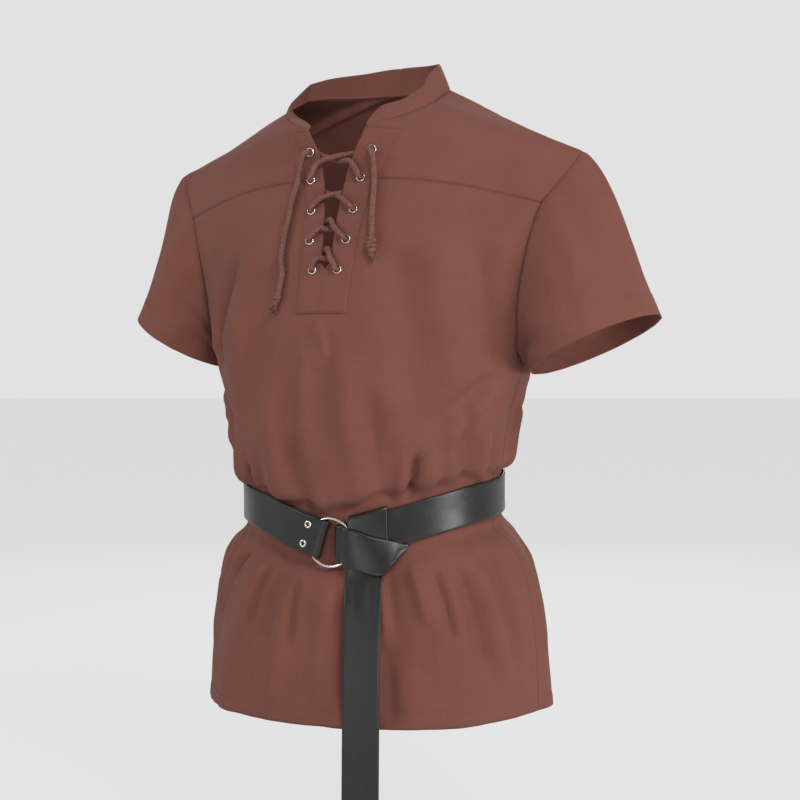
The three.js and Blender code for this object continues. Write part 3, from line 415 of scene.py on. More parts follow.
# ---------- creases on the body: places (degrees from the front, height), half width, depth
bodyCreases = [
    ([(-16, -385), (-11, -440), (-5, -487)], 11, -2.2), ([(-27, -330), (-26, -410), (-24, -478)], 15, 2.4),
    ([(7, -471), (14, -467), (21, -463)], 4, -2.0), ([(24, -330), (30, -410), (33, -470)], 14, -2.4),
    ([(47, -405), (46, -440), (47, -476)], 5, -3.4), ([(53, -395), (53, -440), (54, -470)], 8, 2.6),
    ([(-47, -420), (-47, -445), (-46, -466)], 5, -3.2), ([(-53, -395), (-55, -440), (-54, -462)], 9, 2.6),
    ([(66, -350), (68, -410), (70, -450)], 9, -2.6), ([(76, -380), (79, -425), (80, -446)], 8, 2.4),
    ([(-68, -370), (-70, -420), (-70, -450)], 8, -2.6), ([(-80, -340), (-82, -420), (-84, -445)], 10, 2.2),
    ([(14, -290), (17, -350), (18, -420)], 18, 1.8), ([(-8, -275), (-7, -330), (-8, -400)], 14, 1.7),
    ([(40, -170), (42, -260), (44, -360)], 20, -2.0), ([(56, -175), (58, -260), (60, -340)], 16, 2.2),
    ([(68, -170), (70, -240), (74, -320)], 10, -2.2), ([(-48, -180), (-50, -260), (-52, -350)], 18, 2.0),
    ([(-60, -185), (-63, -250), (-66, -320)], 9, -3.0), ([(-38, -200), (-37, -290), (-36, -380)], 16, -1.6),
    ([(2, -276), (4, -292), (6, -308)], 5, 1.6), ([(-2, -262), (0, -283), (2, -320)], 8, 1.2),
    ([(78, -318), (66, -345), (52, -380)], 9, -1.9), ([(80, -330), (70, -362), (58, -400)], 8, 1.7),
    ([(-80, -318), (-68, -345), (-56, -380)], 9, -1.9), ([(-80, -335), (-70, -370), (-60, -410)], 8, 1.6),
    ([(53, -524), (56, -560), (58, -606)], 5, -3.0), ([(46, -522), (48, -555), (50, -590)], 5, 2.2),
    ([(62, -520), (66, -570), (69, -640)], 8, -2.6), ([(71, -515), (75, -570), (78, -660)], 8, 2.4),
    ([(31, -530), (33, -560), (34, -600)], 5, 2.0), ([(33, -600), (35, -650), (36, -698)], 12, -2.2),
    ([(15, -545), (15, -600), (16, -690)], 9, -2.4), ([(5, -540), (3, -600), (2, -690)], 12, 1.6),
    ([(-11, -540), (-12, -570), (-13, -620)], 5, -2.0), ([(-18, -545), (-20, -620), (-22, -696)], 12, 1.8),
    ([(-29, -530), (-33, -560), (-36, -610)], 5, -2.6), ([(-45, -515), (-54, -552), (-60, -600)], 5, -3.0),
    ([(-51, -512), (-60, -545), (-70, -600)], 6, 2.4), ([(-72, -508), (-78, -560), (-82, -640)], 7, -2.6),
    ([(-40, -600), (-42, -650), (-42, -697)], 13, -2.0), ([(88, -505), (92, -560), (96, -640)], 7, -2.8),
    ([(108, -500), (112, -560), (116, -650)], 9, 2.2), ([(120, -498), (122, -540), (126, -620)], 5, -2.8),
    ([(140, -494), (142, -560), (146, -650)], 7, -2.4), ([(164, -490), (166, -560), (168, -690)], 9, 2.2),
    ([(178, -488), (178, -540), (179, -620)], 6, -2.8),
    ([(-160, -490), (-160, -560), (-162, -660)], 7, 2.4),
    ([(-150, -492), (-152, -540), (-156, -610)], 5, -2.6),
    ([(-132, -495), (-134, -560), (-138, -680)], 8, 2.0),
    ([(-106, -500), (-108, -560), (-112, -660)], 7, -2.6),
    ([(-96, -502), (-100, -570), (-104, -690)], 9, 2.0),
    ([(100, -350), (101, -400), (101, -430)], 8, 2.4), ([(112, -330), (113, -390), (114, -424)], 7, -3.0),
    ([(128, -250), (127, -330), (127, -418)], 14, 2.4), ([(150, -220), (151, -320), (152, -412)], 16, -2.4),
    ([(163, -300), (164, -360), (164, -408)], 7, 2.6),
    ([(-176, -200), (-177, -300), (-178, -408)], 18, 2.0),
    ([(-160, -310), (-161, -370), (-161, -410)], 6, -3.2),
    ([(-150, -240), (-151, -330), (-150, -414)], 15, 2.2),
    ([(-128, -280), (-128, -350), (-127, -420)], 9, -2.6),
    ([(-112, -330), (-112, -390), (-112, -424)], 8, 2.6),
    ([(-98, -360), (-99, -400), (-99, -432)], 6, -2.8), ([(104, -300), (122, -330), (140, -372)], 9, -2.0),
    ([(-104, -300), (-120, -335), (-136, -380)], 9, -2.0),
    ([(100, -270), (112, -240), (124, -190)], 12, -1.8),
    ([(-100, -270), (-112, -240), (-124, -190)], 12, -1.8),
]


# distance to the line, and the share of its length at the nearest place
def polylineDistance(a, z, points):
    points = np.array(points, float)
    runs = np.linalg.norm(np.diff(points, axis=0), axis=1)
    best, share, done = np.full(a.shape, 1e9), np.zeros(a.shape), 0.0
    for (p, q), run in zip(zip(points[:-1], points[1:]), runs):
        d = q - p
        t = np.clip(((a - p[0]) * d[0] + (z - p[1]) * d[1]) / (run * run), 0, 1)
        away = np.hypot(a - p[0] - t * d[0], z - p[1] - t * d[1])
        share = np.where(away < best, (done + t * run) / runs.sum(), share)
        best, done = np.minimum(best, away), done + run
    return best, share


def creasePush(a, z, creases, degree):  # a in degrees, degree is the length of one degree
    push = np.zeros(a.shape)
    for points, width, depth in creases:
        middle = np.mean([p[0] for p in points])
        off = (a - middle + 540) % 360 - 180
        line = [((p[0] - middle) * degree, p[1]) for p in points]
        away, share = polylineDistance(off * degree, z, line)
        taper = smooth(np.minimum(share, 1 - share) * 4 + 0.12)
        push += depth * taper * (bell(away, width) - 0.3 * bell(away - 1.9 * width, width))
    return push


# repeats a mm, height in mm
rumple = {"broad": (0.018, 1.5), "middle": (0.045, 0.42), "fine": (0.11, 0.11)}


def rumpled(p):  # low uneven relief that all woven cloth has
    flat = p.reshape(-1, 3)
    total = np.zeros(len(flat))
    for k, (rate, height) in enumerate(rumple.values()):
        for i, q in enumerate(flat):
            total[i] += height * noise.noise(Vector((q[0] * rate, q[1] * rate,
                                                     q[2] * rate * 0.55 + 31 * k)))
    return total.reshape(p.shape[:-1])


def gathered(a, at):  # short uneven pleats where the belt draws the cloth in
    near = bell(at - garment["beltLevel"], 0.9)
    broad = 0.9 * np.sin(a * 0.33 + 1.2 * np.sin(a * 0.071))
    return near * (broad + 0.7 * np.sin(a * 0.61 + 2.0 * np.sin(a * 0.043 + 1)))


def evenLevels(which, low, high, step):  # levels whose lines across the cloth are about step apart
    at = np.linspace(low, high, 600)
    p = sectionPoint(which, at, np.full(len(at), 0.25), 1)
    run = lineRun(p)
    count = max(3, int(round(run[-1] / step)) + 1)
    return np.interp(np.linspace(0, run[-1], count), run, at)


# level, width of the placket on the wearer's left and right
placketRows = np.array([
    (0, 31.5, 31.5), (6.95, 31.5, 31.5), (8, 32, 32), (8.12, 28, 27), (8.7, 30, 26.5), (9.4, 35, 25),
    (10, 38, 22.5), (10.6, 40, 20.5), (13, 40, 20.5)])


def bodyGrid(which, levels, side):
    at = np.asarray(levels)[:, None]
    width = between(placketRows[:, 0], placketRows[:, 1 if side > 0 else 2], at)
    inner = uAtDistance(which, at, width * np.linspace(0, 1, garment["placketColumns"] + 1)[None, :], side)
    inner[:, 0] = 0
    outer = inner[:, -1:] + (1 - inner[:, -1:]) * np.linspace(0, 1, garment["outerColumns"] + 1)[None, 1:]
    u = np.concatenate([inner, outer], 1)
    return sectionPoint(which, at, u, side), np.broadcast_to(at, u.shape)


def outward(p, n):  # turns normals away from the body's axis
    flip = np.sign((n * (p - np.array([0, 5, 0])) * np.array([1, 1, 0.3])).sum(-1,
                                                                               keepdims=True).mean()) or 1
    return n * flip


def dressBody(which, p, at, isYoke):
    n = outward(p, gridNormals(p))
    across, down = travelled(p, 1), travelled(p, 0)
    toSide = across[:, -1:] - across
    fromLow, fromHigh = down, down[-1:] - down
    a = np.degrees(np.arctan2(p[..., 0], -p[..., 1]))
    belt = 1 - np.exp(-(((at - garment["beltLevel"]) / 0.42) ** 4))  # nothing moves under the belt
    calm = smooth(toSide / 22) * (smooth((across - 24) / 26) if which == "front" else 1.0)
    calm = np.where(at < 7.6, smooth(toSide / 22), calm) if which == "front" else calm
    push = garment["creaseDepth"] * creasePush(a, p[..., 2], bodyCreases, garment["degreeLength"])
    push = (push + gathered(a, at)) * belt * calm
    push += rumpled(p) * (0.35 + 0.65 * calm) * (0.3 + 0.7 * belt)
    roll = garment["seamRoll"]
    push -= roll * bell(toSide, 2.4)
    fromSeam = fromLow if isYoke else fromHigh
    push -= roll * bell(fromSeam, 2.2) - 0.35 * bell(fromSeam - 6, 4)
    if not isYoke:  # turned hem
        rope = 0.35 * np.sin(across * 0.24 + 1.4 * np.sin(across * 0.037)) * bell(fromLow, 14)
        push += 0.45 * smooth((garment["hemDepth"] + 1 - fromLow) / 3) + rope
        push -= 0.5 * bell(fromLow - garment["hemDepth"], 1.6)
    return p + n * push[..., None], n


def weaveUv(p):
    across, down = travelled(p, 1), travelled(p, 0)
    return np.stack([across, down], -1)


front, back, yoke = Shell(), Shell(), Shell()
frontLevels, backLevels = (evenLevels(which, 0, garment["yokeSeam"], garment["gridStep"])
                           for which in ("front", "back"))
yokeFrontLevels, yokeBackLevels = (evenLevels(which, garment["yokeSeam"], garment["ridge"],
                                              garment["yokeStep"])
                                   for which in ("front", "back"))


# the wearer's left and right half, joined where the centre is closed
def panelHalves(which, levels, isYoke):
    halves = []
    for side in (1, -1):
        p, at = bodyGrid(which, levels, side)
        q, n = dressBody(which, p, at, isYoke)
        halves.append({"side": side, "q": q, "n": n, "at": at, "uv": weaveUv(p)})
    middle = (halves[0]["q"][:, 0] + halves[1]["q"][:, 0]) / 2
    closed = np.abs(sectionPoint(which, levels, 0, 1)[:, 0]) < 0.02
    for half in halves:
        half["q"][:, 0] = np.where(closed[:, None], middle, half["q"][:, 0])
    return halves


panels = {
    "front": panelHalves("front", frontLevels, False), "back": panelHalves("back", backLevels, False),
    "yokeFront": panelHalves("front", yokeFrontLevels, True),
    "yokeBack": panelHalves("back", yokeBackLevels, True),
}
for one, other in zip(panels["yokeFront"], panels["yokeBack"]):  # the yoke is one cloth over the shoulder
    one["q"][-1] = other["q"][-1] = (one["q"][-1] + other["q"][-1]) / 2
for shell, name in ((front, "front"), (back, "back"), (yoke, "yokeFront"), (yoke, "yokeBack")):
    for half in panels[name]:
        shell.add(half["q"], half["uv"], (half["side"] < 0) == (name in ("front", "yokeFront")))
frontPiece = front.build("tunic_front", tunicCloth, garment["cloth"])
backPiece = back.build("tunic_back", tunicCloth, garment["cloth"])
yokePiece = yoke.build("tunic_yoke", tunicCloth, garment["cloth"])
for piece, node in ((frontPiece, "front"), (backPiece, "back"), (yokePiece, "yoke")):
    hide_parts(node)
print("body made")

# ---------- sleeves
sleeves = {
    "left": {"side": 1, "x": 268.0, "y": 12.0, "z": -290.0, "wide": 75.0, "deep": 78.0, "tilt": 25.0},
    "right": {"side": -1, "x": 250.0, "y": 10.0, "z": -281.0, "wide": 67.0, "deep": 77.0, "tilt": 30.0},
    "down": 52, "halfRound": 74, "puckers": 0.32, "creaseRun": 170, "degreeLength": 1.3,
}
# degrees round the sleeve from its top towards the front, share of its length, half width in mm, depth
sleeveCreases = [
    ([(168, 0.1), (140, 0.45), (118, 0.9)], 9, -2.4), ([(150, 0.05), (122, 0.4), (100, 0.8)], 8, 2.0),
    ([(140, 0.03), (110, 0.25), (84, 0.5)], 9, -1.8), ([(60, 0.02), (58, 0.3), (60, 0.62)], 11, 1.5),
    ([(38, 0.0), (40, 0.3), (44, 0.7)], 9, -1.3), ([(8, 0.0), (6, 0.4), (4, 0.95)], 13, 1.1),
    ([(-24, 0.0), (-26, 0.3), (-24, 0.7)], 9, -1.4), ([(-60, 0.02), (-62, 0.4), (-64, 0.8)], 12, 1.7),
    ([(-150, 0.05), (-126, 0.4), (-104, 0.8)], 9, -2.2), ([(-168, 0.1), (-146, 0.5), (-130, 0.95)], 9, 2.0),
    ([(82, 0.5), (80, 0.75), (78, 1.0)], 12, -1.3), ([(-90, 0.45), (-86, 0.7), (-84, 1.0)], 12, -1.4),
]


def armholeRing(side, count):  # from the shoulder down the front to the underarm and up the back
    halves = []
    for which in ("front", "back"):
        at = np.linspace(garment["ridge"], garment["underarm"], 900)
        p = sectionPoint(which, at, np.ones(len(at)), side)
        run = lineRun(p)
        spots = np.linspace(0, run[-1], count)
        halves.append(resampled(spots, run, p))
    angle = np.linspace(0, math.pi, count)
    ring = np.concatenate([halves[0], halves[1][::-1][1:]])
    return ring, np.concatenate([angle, -angle[::-1][1:]])


def sleeveGrid(s, steps):
    ring, a = armholeRing(s["side"], sleeves["halfRound"])
    c, t = math.cos(math.radians(s["tilt"])), math.sin(math.radians(s["tilt"]))
    end = np.stack([s["side"] * (s["x"] + s["wide"] * np.cos(a) * c), s["y"] - s["deep"] * np.sin(a),
                    s["z"] + s["wide"] * np.cos(a) * t], -1)
    length = np.linalg.norm(end - ring, axis=-1, keepdims=True)
    leave = np.stack([s["side"] * (0.84 - 0.04 * np.cos(a)), -0.35 * np.sin(a), -0.22 - 0.3 * np.cos(a)],
                     -1)
    arrive = np.array([s["side"] * t, 0, -c])
    near, far = ring + leave * length * 0.26, end - arrive * length * 0.3
    share = np.linspace(0, 1, steps + 1)[:, None, None]
    p = bezier(ring, near, far, end, share)
    return p, np.degrees(a)


def makeSleeve(name, s):
    p, a = sleeveGrid(s, sleeves["down"])
    n = gridNormals(p)
    centre = p.mean(axis=1, keepdims=True)
    n = n * (np.sign(((p - centre) * n).sum(-1).mean()) or 1)
    n[:, 0] = n[:, -1] = (n[:, 0] + n[:, -1]) / 2
    n /= np.linalg.norm(n, axis=-1, keepdims=True)
    down, across = travelled(p, 0), travelled(p, 1)
    total = down[-1:]
    around = np.broadcast_to(a[None], down.shape)
    toHem, run = total - down, sleeves["creaseRun"]
    creases = [([(q[0], q[1] * run) for q in line], w, d) for line, w, d in sleeveCreases]
    push = creasePush(around, down / total * run, creases, sleeves["degreeLength"])
    push = push * smooth(down / 26) * (0.45 + 0.55 * smooth(toHem / 30))
    push += rumpled(p) * smooth(down / 14)
    push -= garment["seamRoll"] * bell(down, 2.4)
    push += 0.55 * bell(down - 5.5, 4.5) * smooth(down / 4)
    cap = smooth((105 - np.abs(around)) / 40)
    ripple = np.sin(across * 0.62 + 1.7 * np.sin(across * 0.09))
    push += sleeves["puckers"] * cap * ripple * bell(down, 15) * smooth(down / 3)
    push += 0.5 * smooth((garment["cuffDepth"] + 1 - toHem) / 3) - 0.55 * bell(toHem
                                                                               - garment["cuffDepth"], 1.7)
    push += 0.3 * np.sin(across * 0.2 + 1.4 * np.sin(across * 0.045)) * bell(toHem, 20)
    push[:, 0] = push[:, -1] = (push[:, 0] + push[:, -1]) / 2
    q = p + n * push[..., None]
    shell = Shell()
    shell.add(q, np.stack([across, down], -1), s["side"] < 0)
    piece = shell.build(f"tunic_sleeve_{name}", tunicCloth, garment["cloth"])
    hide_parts(f"sleeve_{name}")
    return piece, q, n


sleevePieces = {name: makeSleeve(name, sleeves[name]) for name in ("left", "right")}
print("sleeves made")

# ---------- collar: degrees from the back of the neck, and how the collar stands there
collar = {"height": 31.0, "corner": 16.0, "cloth": 1.7, "columns": 190, "rows": 14}
collarLean = np.array([
    (-158, -10, 25, 10), (-132, -8, 26, 12), (-110, -6, 18, 13), (-80, 0, 10, 21.5), (-40, 2, 3, 29),
    (0, 0, 0, 33),
    (50, -8, -3, 31), (90, -17, 2, 26), (110, -12, 8, 20.5), (130, -6, 15, 20), (158, 4, 21, 22)], float)


def neckSeam(count):
    parts = []
    for which, side in (("front", -1), ("back", -1), ("back", 1), ("front", 1)):
        at = np.linspace(garment["neckEnd"], garment["ridge"], 300)
        p = sectionPoint(which, at, np.zeros(len(at)), side)
        parts.append(p if (which == "front") == (side < 0) else p[::-1])
    p = np.concatenate([parts[0], parts[1][1:], parts[2][1:], parts[3][1:]])
    run = lineRun(p)
    spots = np.linspace(0, run[-1], count)
    return resampled(spots, run, p), spots


def makeCollar(c):
    seam, run = neckSeam(c["columns"])
    total = run[-1]
    ease = total * (0.5 - 0.5 * np.cos(np.pi * np.clip(run / total, 0, 1)))
    spots = 0.35 * ease + 0.65 * run  # columns closer at the rounded corners
    seam = resampled(spots, run, seam)
    fromEnd = np.minimum(c["corner"], np.minimum(spots, total - spots))
    round_ = np.sqrt(np.maximum(c["corner"]**2 - (c["corner"] - fromEnd)**2, 0)) - c["corner"]
    share = 1 + round_ / c["height"]
    around = np.degrees(np.arctan2(seam[:, 0], seam[:, 1] - neck["centreY"]))
    lean = np.stack([between(collarLean[:, 0], collarLean[:, k], around) for k in (1, 2, 3)], -1)
    k = np.linspace(0, 1, c["rows"] + 1)[:, None, None]
    p = seam[None] + lean[None] * share[None, :, None] * k
    n = gridNormals(p)
    n *= np.sign((n * (p - np.array([0, neck["centreY"], -20.0]))).sum(-1).mean())
    up = travelled(p, 0)
    top = up[-1:]
    push = 0.8 * np.sin(np.pi * np.clip(up / np.maximum(top, 1), 0, 1)) + rumpled(p) * 0.6
    push -= 0.8 * bell(up, 2.2) + 0.45 * bell(top - up, 1.8)
    push -= 0.25 * bell(top - up - 5.5, 1.2)
    push += 0.14 * np.sin(spots[None] * 0.9 + np.sin(spots[None] * 0.13)) * bell(up - 4, 5)
    q = p + n * push[..., None]
    shell = Shell()
    shell.add(q, np.stack([np.broadcast_to(spots[None], up.shape), up], -1), False)
    piece = shell.build("tunic_collar", tunicCloth, c["cloth"])
    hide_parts("collar")
    return piece, q, n


collarPiece, collarGrid, collarNormals = makeCollar(collar)
print("collar made")

# ---------- placket, laid on the front beside the slit
placketGrids = []


def makePlacket():
    shell, columns = Shell(), garment["placketColumns"] + 1
    fine = np.linspace(0, columns - 1, 3 * columns)  # three columns for each of the body's
    for side in (1, -1):
        low, high = (half for name in ("front", "yokeFront") for half in panels[name]
                     if half["side"] == side)
        q, n, at = (np.concatenate([low[k][:, :columns], high[k][1:, :columns]]) for k in ("q", "n", "at"))
        keep = (at[:, 0] >= garment["placketBottom"]) & (at[:, 0] <= garment["neckEnd"] + 0.02)
        q, n = (np.stack([resampled(fine, np.arange(columns), row) for row in v[keep]]) for v in (q, n))
        across, down = travelled(q, 1), travelled(q, 0)
        toEdge = across[:, -1:] - across
        lift = garment["placketLift"] - 0.85 * bell(toEdge, 1.8)
        lift = lift - 0.4 * bell(down, 1.8) - 0.3 * bell(toEdge - 4, 1.0)
        lift = lift - 0.3 * bell(across, 1.5) * (np.abs(q[..., 0]) > 1)
        out = q + n * lift[..., None]
        closed = np.abs(out[:, 0, 0]) < 0.6
        out[closed, 0, 0] = 0
        shell.add(out, weaveUv(q), side < 0)
        placketGrids.append((out, n))
    piece = shell.build("tunic_placket", tunicCloth, garment["placketCloth"])
    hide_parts("placket")
    return piece


placketPiece = makePlacket()
print("placket made")

# ---------- places beside the slit: inset from its edge, height, and lift from the cloth's middle
levelTable = np.linspace(0, garment["neckEnd"], 1500)
heightTable = between(tables["front"][:, 0], tables["front"][:, 3], levelTable)


def besidePlace(side, inset, z):
    at = np.interp(z, heightTable, levelTable)
    u = float(uAtDistance("front", at, inset, side)) if inset > 0 else 0.0
    p = sectionPoint("front", at, u, side)
    across = sectionPoint("front", at, u + 0.02, side) - p
    up = sectionPoint("front", at + 0.05, u, side) - p
    across, up = unit(across), unit(up)
    return p, across, up, unit(np.cross(across, up) * side)


def beside(side, inset, z, height):
    p, across, _, out = besidePlace(side, max(inset, 0), z)
    return p + out * height + across * min(inset, 0)


# ---------- repeated small shapes, set on points by one node tree
def repeatTree():
    tree = bpy.data.node_groups.new("set_repeats", "GeometryNodeTree")
    face = tree.interface
    face.new_socket("Geometry", in_out="INPUT", socket_type="NodeSocketGeometry")
    shape = face.new_socket("Shape", in_out="INPUT", socket_type="NodeSocketObject")
    size = face.new_socket("Size", in_out="INPUT", socket_type="NodeSocketFloat")
    finish = face.new_socket("Finish", in_out="INPUT", socket_type="NodeSocketMaterial")
    face.new_socket("Geometry", in_out="OUTPUT", socket_type="NodeSocketGeometry")
    add, link = tree.nodes.new, tree.links.new
    start, end = add("NodeGroupInput"), add("NodeGroupOutput")
    points, info = add("GeometryNodeMeshToPoints"), add("GeometryNodeObjectInfo")
    attribute = add("GeometryNodeInputNamedAttribute")
    attribute.data_type = "FLOAT_VECTOR"
    attribute.inputs["Name"].default_value = "turn"
    turn, instances, real, paint = (add("FunctionNodeEulerToRotation"), add("GeometryNodeInstanceOnPoints"),
                                    add("GeometryNodeRealizeInstances"), add("GeometryNodeSetMaterial"))
    link(start.outputs["Geometry"], points.inputs["Mesh"])
    link(start.outputs["Shape"], info.inputs["Object"])
    link(points.outputs["Points"], instances.inputs["Points"])
    link(info.outputs["Geometry"], instances.inputs["Instance"])
    link(attribute.outputs["Attribute"], turn.inputs[0])
    link(turn.outputs[0], instances.inputs["Rotation"])
    link(start.outputs["Size"], instances.inputs["Scale"])
    link(instances.outputs["Instances"], real.inputs["Geometry"])
    link(real.outputs["Geometry"], paint.inputs["Geometry"])
    link(start.outputs["Finish"], paint.inputs["Material"])
    link(paint.outputs["Geometry"], end.inputs["Geometry"])
    return tree, {"Shape": shape.identifier, "Size": size.identifier, "Finish": finish.identifier}


repeats, repeatInputs = repeatTree()


def setRepeats(name, places, shape, material, size=1.0):  # places: point, along, out
    mesh = bpy.data.meshes.new(name)
    mesh.from_pydata([tuple(np.asarray(p) * mm) for p, _, _ in places], [], [])
    turns = []
    for _, along, out in places:
        x, z = Vector(along).normalized(), Vector(out).normalized()
        y = z.cross(x).normalized()
        z = x.cross(y)
        turns += list(Matrix((x, y, z)).transposed().to_euler())
    mesh.attributes.new("turn", "FLOAT_VECTOR", "POINT").data.foreach_set("vector", turns)
    obj = inScene(name, mesh)
    modifier = obj.modifiers.new("repeats", "NODES")
    modifier.node_group = repeats
    modifier[repeatInputs["Shape"]] = shape
    modifier[repeatInputs["Size"]] = size
    modifier[repeatInputs["Finish"]] = material
    applyModifiers(obj)
    return finishPiece(obj)


def latheShape(name, profile, sides):  # closed profile of radius and height, turned about Z
    ring = np.array([[(r * math.cos(a), r * math.sin(a), h) for r, h in profile]
                     for a in np.linspace(0, 2 * math.pi, sides, endpoint=False)]) * mm
    count = len(profile)
    faces = []
    for i in range(sides):
        j = (i + 1) % sides
        faces += [(i * count + k, j * count + k, j * count + (k + 1) % count, i * count + (k + 1) % count)
                  for k in range(count)]
    mesh = bpy.data.meshes.new(name)
    mesh.from_pydata(ring.reshape(-1, 3).tolist(), [], faces)
    facesOutward(mesh)
    return bpy.data.objects.new(name, mesh)


def roundedProfile(points, radius, steps=3):  # rounds the corners of a closed outline
    out = []
    count = len(points)
    for i in range(count):
        a, b, c = (np.array(points[(i + k - 1) % count], float) for k in range(3))
        u, v = unit(a - b), unit(c - b)
        r = min(radius, np.linalg.norm(a - b) / 2.2, np.linalg.norm(c - b) / 2.2)
        for t in np.linspace(0, 1, steps):
            out.append(tuple((1 - t)**2 * (b + u * r) + 2 * (1 - t) * t * b + t**2 * (b + v * r)))
    return out


metalLook = {"base": (0.78, 0.72, 0.68, 1), "dull": (0.55, 0.5, 0.47, 1)}


def metalFinish(name, look):
    f = Finish(name, 0.24, 1.0)
    body = f.place()
    worn = f.noise(body, 260.0, 4.0, 0.6).between(0.35, 0.75)
    f.feed(Base_Color=f.mix(look["base"], look["dull"], worn * 0.5), Roughness=worn * 0.16 + 0.2,
           Normal=f.bump(f.noise(body, 900.0, 2.0), 0.06, 0.0002))
    return f.material


nickel = metalFinish("nickel", metalLook)

# ---------- stitches, in lines along the panels' grids
thread = {"long": 2.5, "radius": 0.36, "pitch": 3.3, "lift": 0.12}


def stitchShape():
    ends = np.linspace(-1, 1, 7)
    mesh = bpy.data.meshes.new("stitch")
    rings = [[(t * thread["long"] / 2, r * math.cos(a), 0.7 * r * math.sin(a) + 0.22 * (1 - t * t))
              for a in np.linspace(0, 2 * math.pi, 6, endpoint=False)]
             for t, r in ((t, thread["radius"] * math.sqrt(max(1 - t**4, 0.06))) for t in ends)]
    faces = [(a + k, a + (k + 1) % 6, a + 6 + (k + 1) % 6, a + 6 + k) for a in range(0, 36, 6)
             for k in range(6)]
    faces += [tuple(range(5, -1, -1)), tuple(range(36, 42))]  # seven rings of six, and both ends
    mesh.from_pydata((np.array(rings).reshape(-1, 3) * mm).tolist(), [], faces)
    return bpy.data.objects.new("stitch", mesh)


def alongLine(p, n, lift):  # stitches at an even pitch on a line of points
    run = lineRun(p)
    spots = np.arange(1.5, run[-1] - 1.5, thread["pitch"])
    at = [resampled(spots + d, run, v) for v in (p, n) for d in (-0.6, 0.6)]
    return [((a + b) / 2 + (m + o) / 2 * lift, b - a, (m + o) / 2) for a, b, m, o in zip(*at)]


def gridLine(q, n, distance, fromEnd=False):  # the line at a distance from the grid's first or last row
    if fromEnd:
        q, n = q[::-1], n[::-1]
    down = travelled(q, 0)
    return tuple(np.array([resampled(distance, down[:, j], v[:, j]) for j in range(q.shape[1])])
                 for v in (q, n))


def sideways(grid):
    return grid.transpose(1, 0, 2)


# ---------- eyelets, and the holes for them
eyelets = {"outer": 5.4, "inner": 3.7, "seat": 2.3, "rise": 1.25, "foot": -1.3, "count": 5, "top": -76.0,
           "pitch": 33.0,
           "hole": 4.3, "insets": {1: (19.5, 18.5, 18.0, 15.5, 15.5), -1: (9.5, 15.5, 15.5, 15.5, 15.5)}}
eyeletPlaces = []
for side, word in ((1, "left"), (-1, "right")):
    for i in range(eyelets["count"]):
        p, across, up, out = besidePlace(side, eyelets["insets"][side][i],
                                         eyelets["top"] - i * eyelets["pitch"])
        eyeletPlaces.append((p, across, out, f"eyelet_{word}_{i + 1}"))


def cutHoles(pieces):
    hole = latheShape("hole", [(0.001, -6), (eyelets["hole"], -6), (eyelets["hole"], 6), (0.001, 6)], 20)
    bpy.context.scene.collection.objects.link(hole)
    bm = bmesh.new()
    for p, across, out, _ in eyeletPlaces:
        turn = Vector((0, 0, 1)).rotation_difference(Vector(out)).to_matrix().to_4x4()
        part = bmesh.new()
        part.from_mesh(hole.data)
        bmesh.ops.remove_doubles(part, verts=part.verts, dist=4e-6)
        bmesh.ops.transform(part, matrix=Matrix.Translation(Vector(p) * mm) @ turn, verts=part.verts)
        bmesh.ops.recalc_face_normals(part, faces=part.faces)
        extra = bpy.data.meshes.new("part")
        part.to_mesh(extra)
        part.free()
        bm.from_mesh(extra)
    bm.to_mesh(hole.data)
    bm.free()
    for piece in pieces:
        cut = piece.modifiers.new("holes", "BOOLEAN")
        cut.operation, cut.solver, cut.object = "DIFFERENCE", "EXACT", hole
        applyModifiers(piece)
    bpy.data.objects.remove(hole)


cutHoles([frontPiece, yokePiece, placketPiece])
eyeletProfile = roundedProfile([
    (eyelets["inner"], eyelets["foot"]), (eyelets["inner"] + 0.45, eyelets["foot"]),
    (eyelets["inner"] + 0.45, eyelets["seat"] - 0.1), (eyelets["outer"], eyelets["seat"] - 0.1),
    (eyelets["outer"] - 0.15, eyelets["seat"] + 0.55),
    (eyelets["outer"] - 0.75, eyelets["seat"] + eyelets["rise"]),
    (eyelets["inner"] + 0.5, eyelets["seat"] + eyelets["rise"]),
    (eyelets["inner"], eyelets["seat"] + 0.6)], 0.35)
eyeletPiece = setRepeats("eyelets", [place[:3] for place in eyeletPlaces],
                         latheShape("eyelet", eyeletProfile, 36), nickel)
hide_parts(*[place[3] for place in eyeletPlaces])
print("eyelets set")

# ---------- stitch lines
face = garment["cloth"] / 2 + thread["lift"]
stitchPlaces = []
for name, half in ((name, half) for name in panels for half in panels[name]):
    q, n = half["q"], half["n"]
    if name in ("front", "back"):
        stitchPlaces += alongLine(*gridLine(q, n, garment["hemDepth"]), face)
    else:
        stitchPlaces += alongLine(*gridLine(q, n, 3.2), face)
for piece, q, n in sleevePieces.values():
    stitchPlaces += alongLine(*gridLine(q, n, garment["cuffDepth"], True), face)
for q, n in placketGrids:
    face = garment["placketCloth"] / 2 + thread["lift"]
    stitchPlaces += alongLine(*gridLine(sideways(q), sideways(n), 3.2, True), face)
    stitchPlaces += alongLine(*gridLine(sideways(q), sideways(n), 2.6), face)
    stitchPlaces += alongLine(*gridLine(q, n, 3.0), face)
    stitchPlaces += alongLine(*gridLine(q, n, 8.5), face)
face = collar["cloth"] / 2 + thread["lift"]
stitchPlaces += alongLine(*gridLine(collarGrid[:, 4:-4], collarNormals[:, 4:-4], 5.0, True), face)
stitchPlaces += alongLine(*gridLine(collarGrid, collarNormals, 2.6), face)
setRepeats("tunic_stitching", stitchPlaces, stitchShape(), sewingThread)
print("stitches set", len(stitchPlaces))

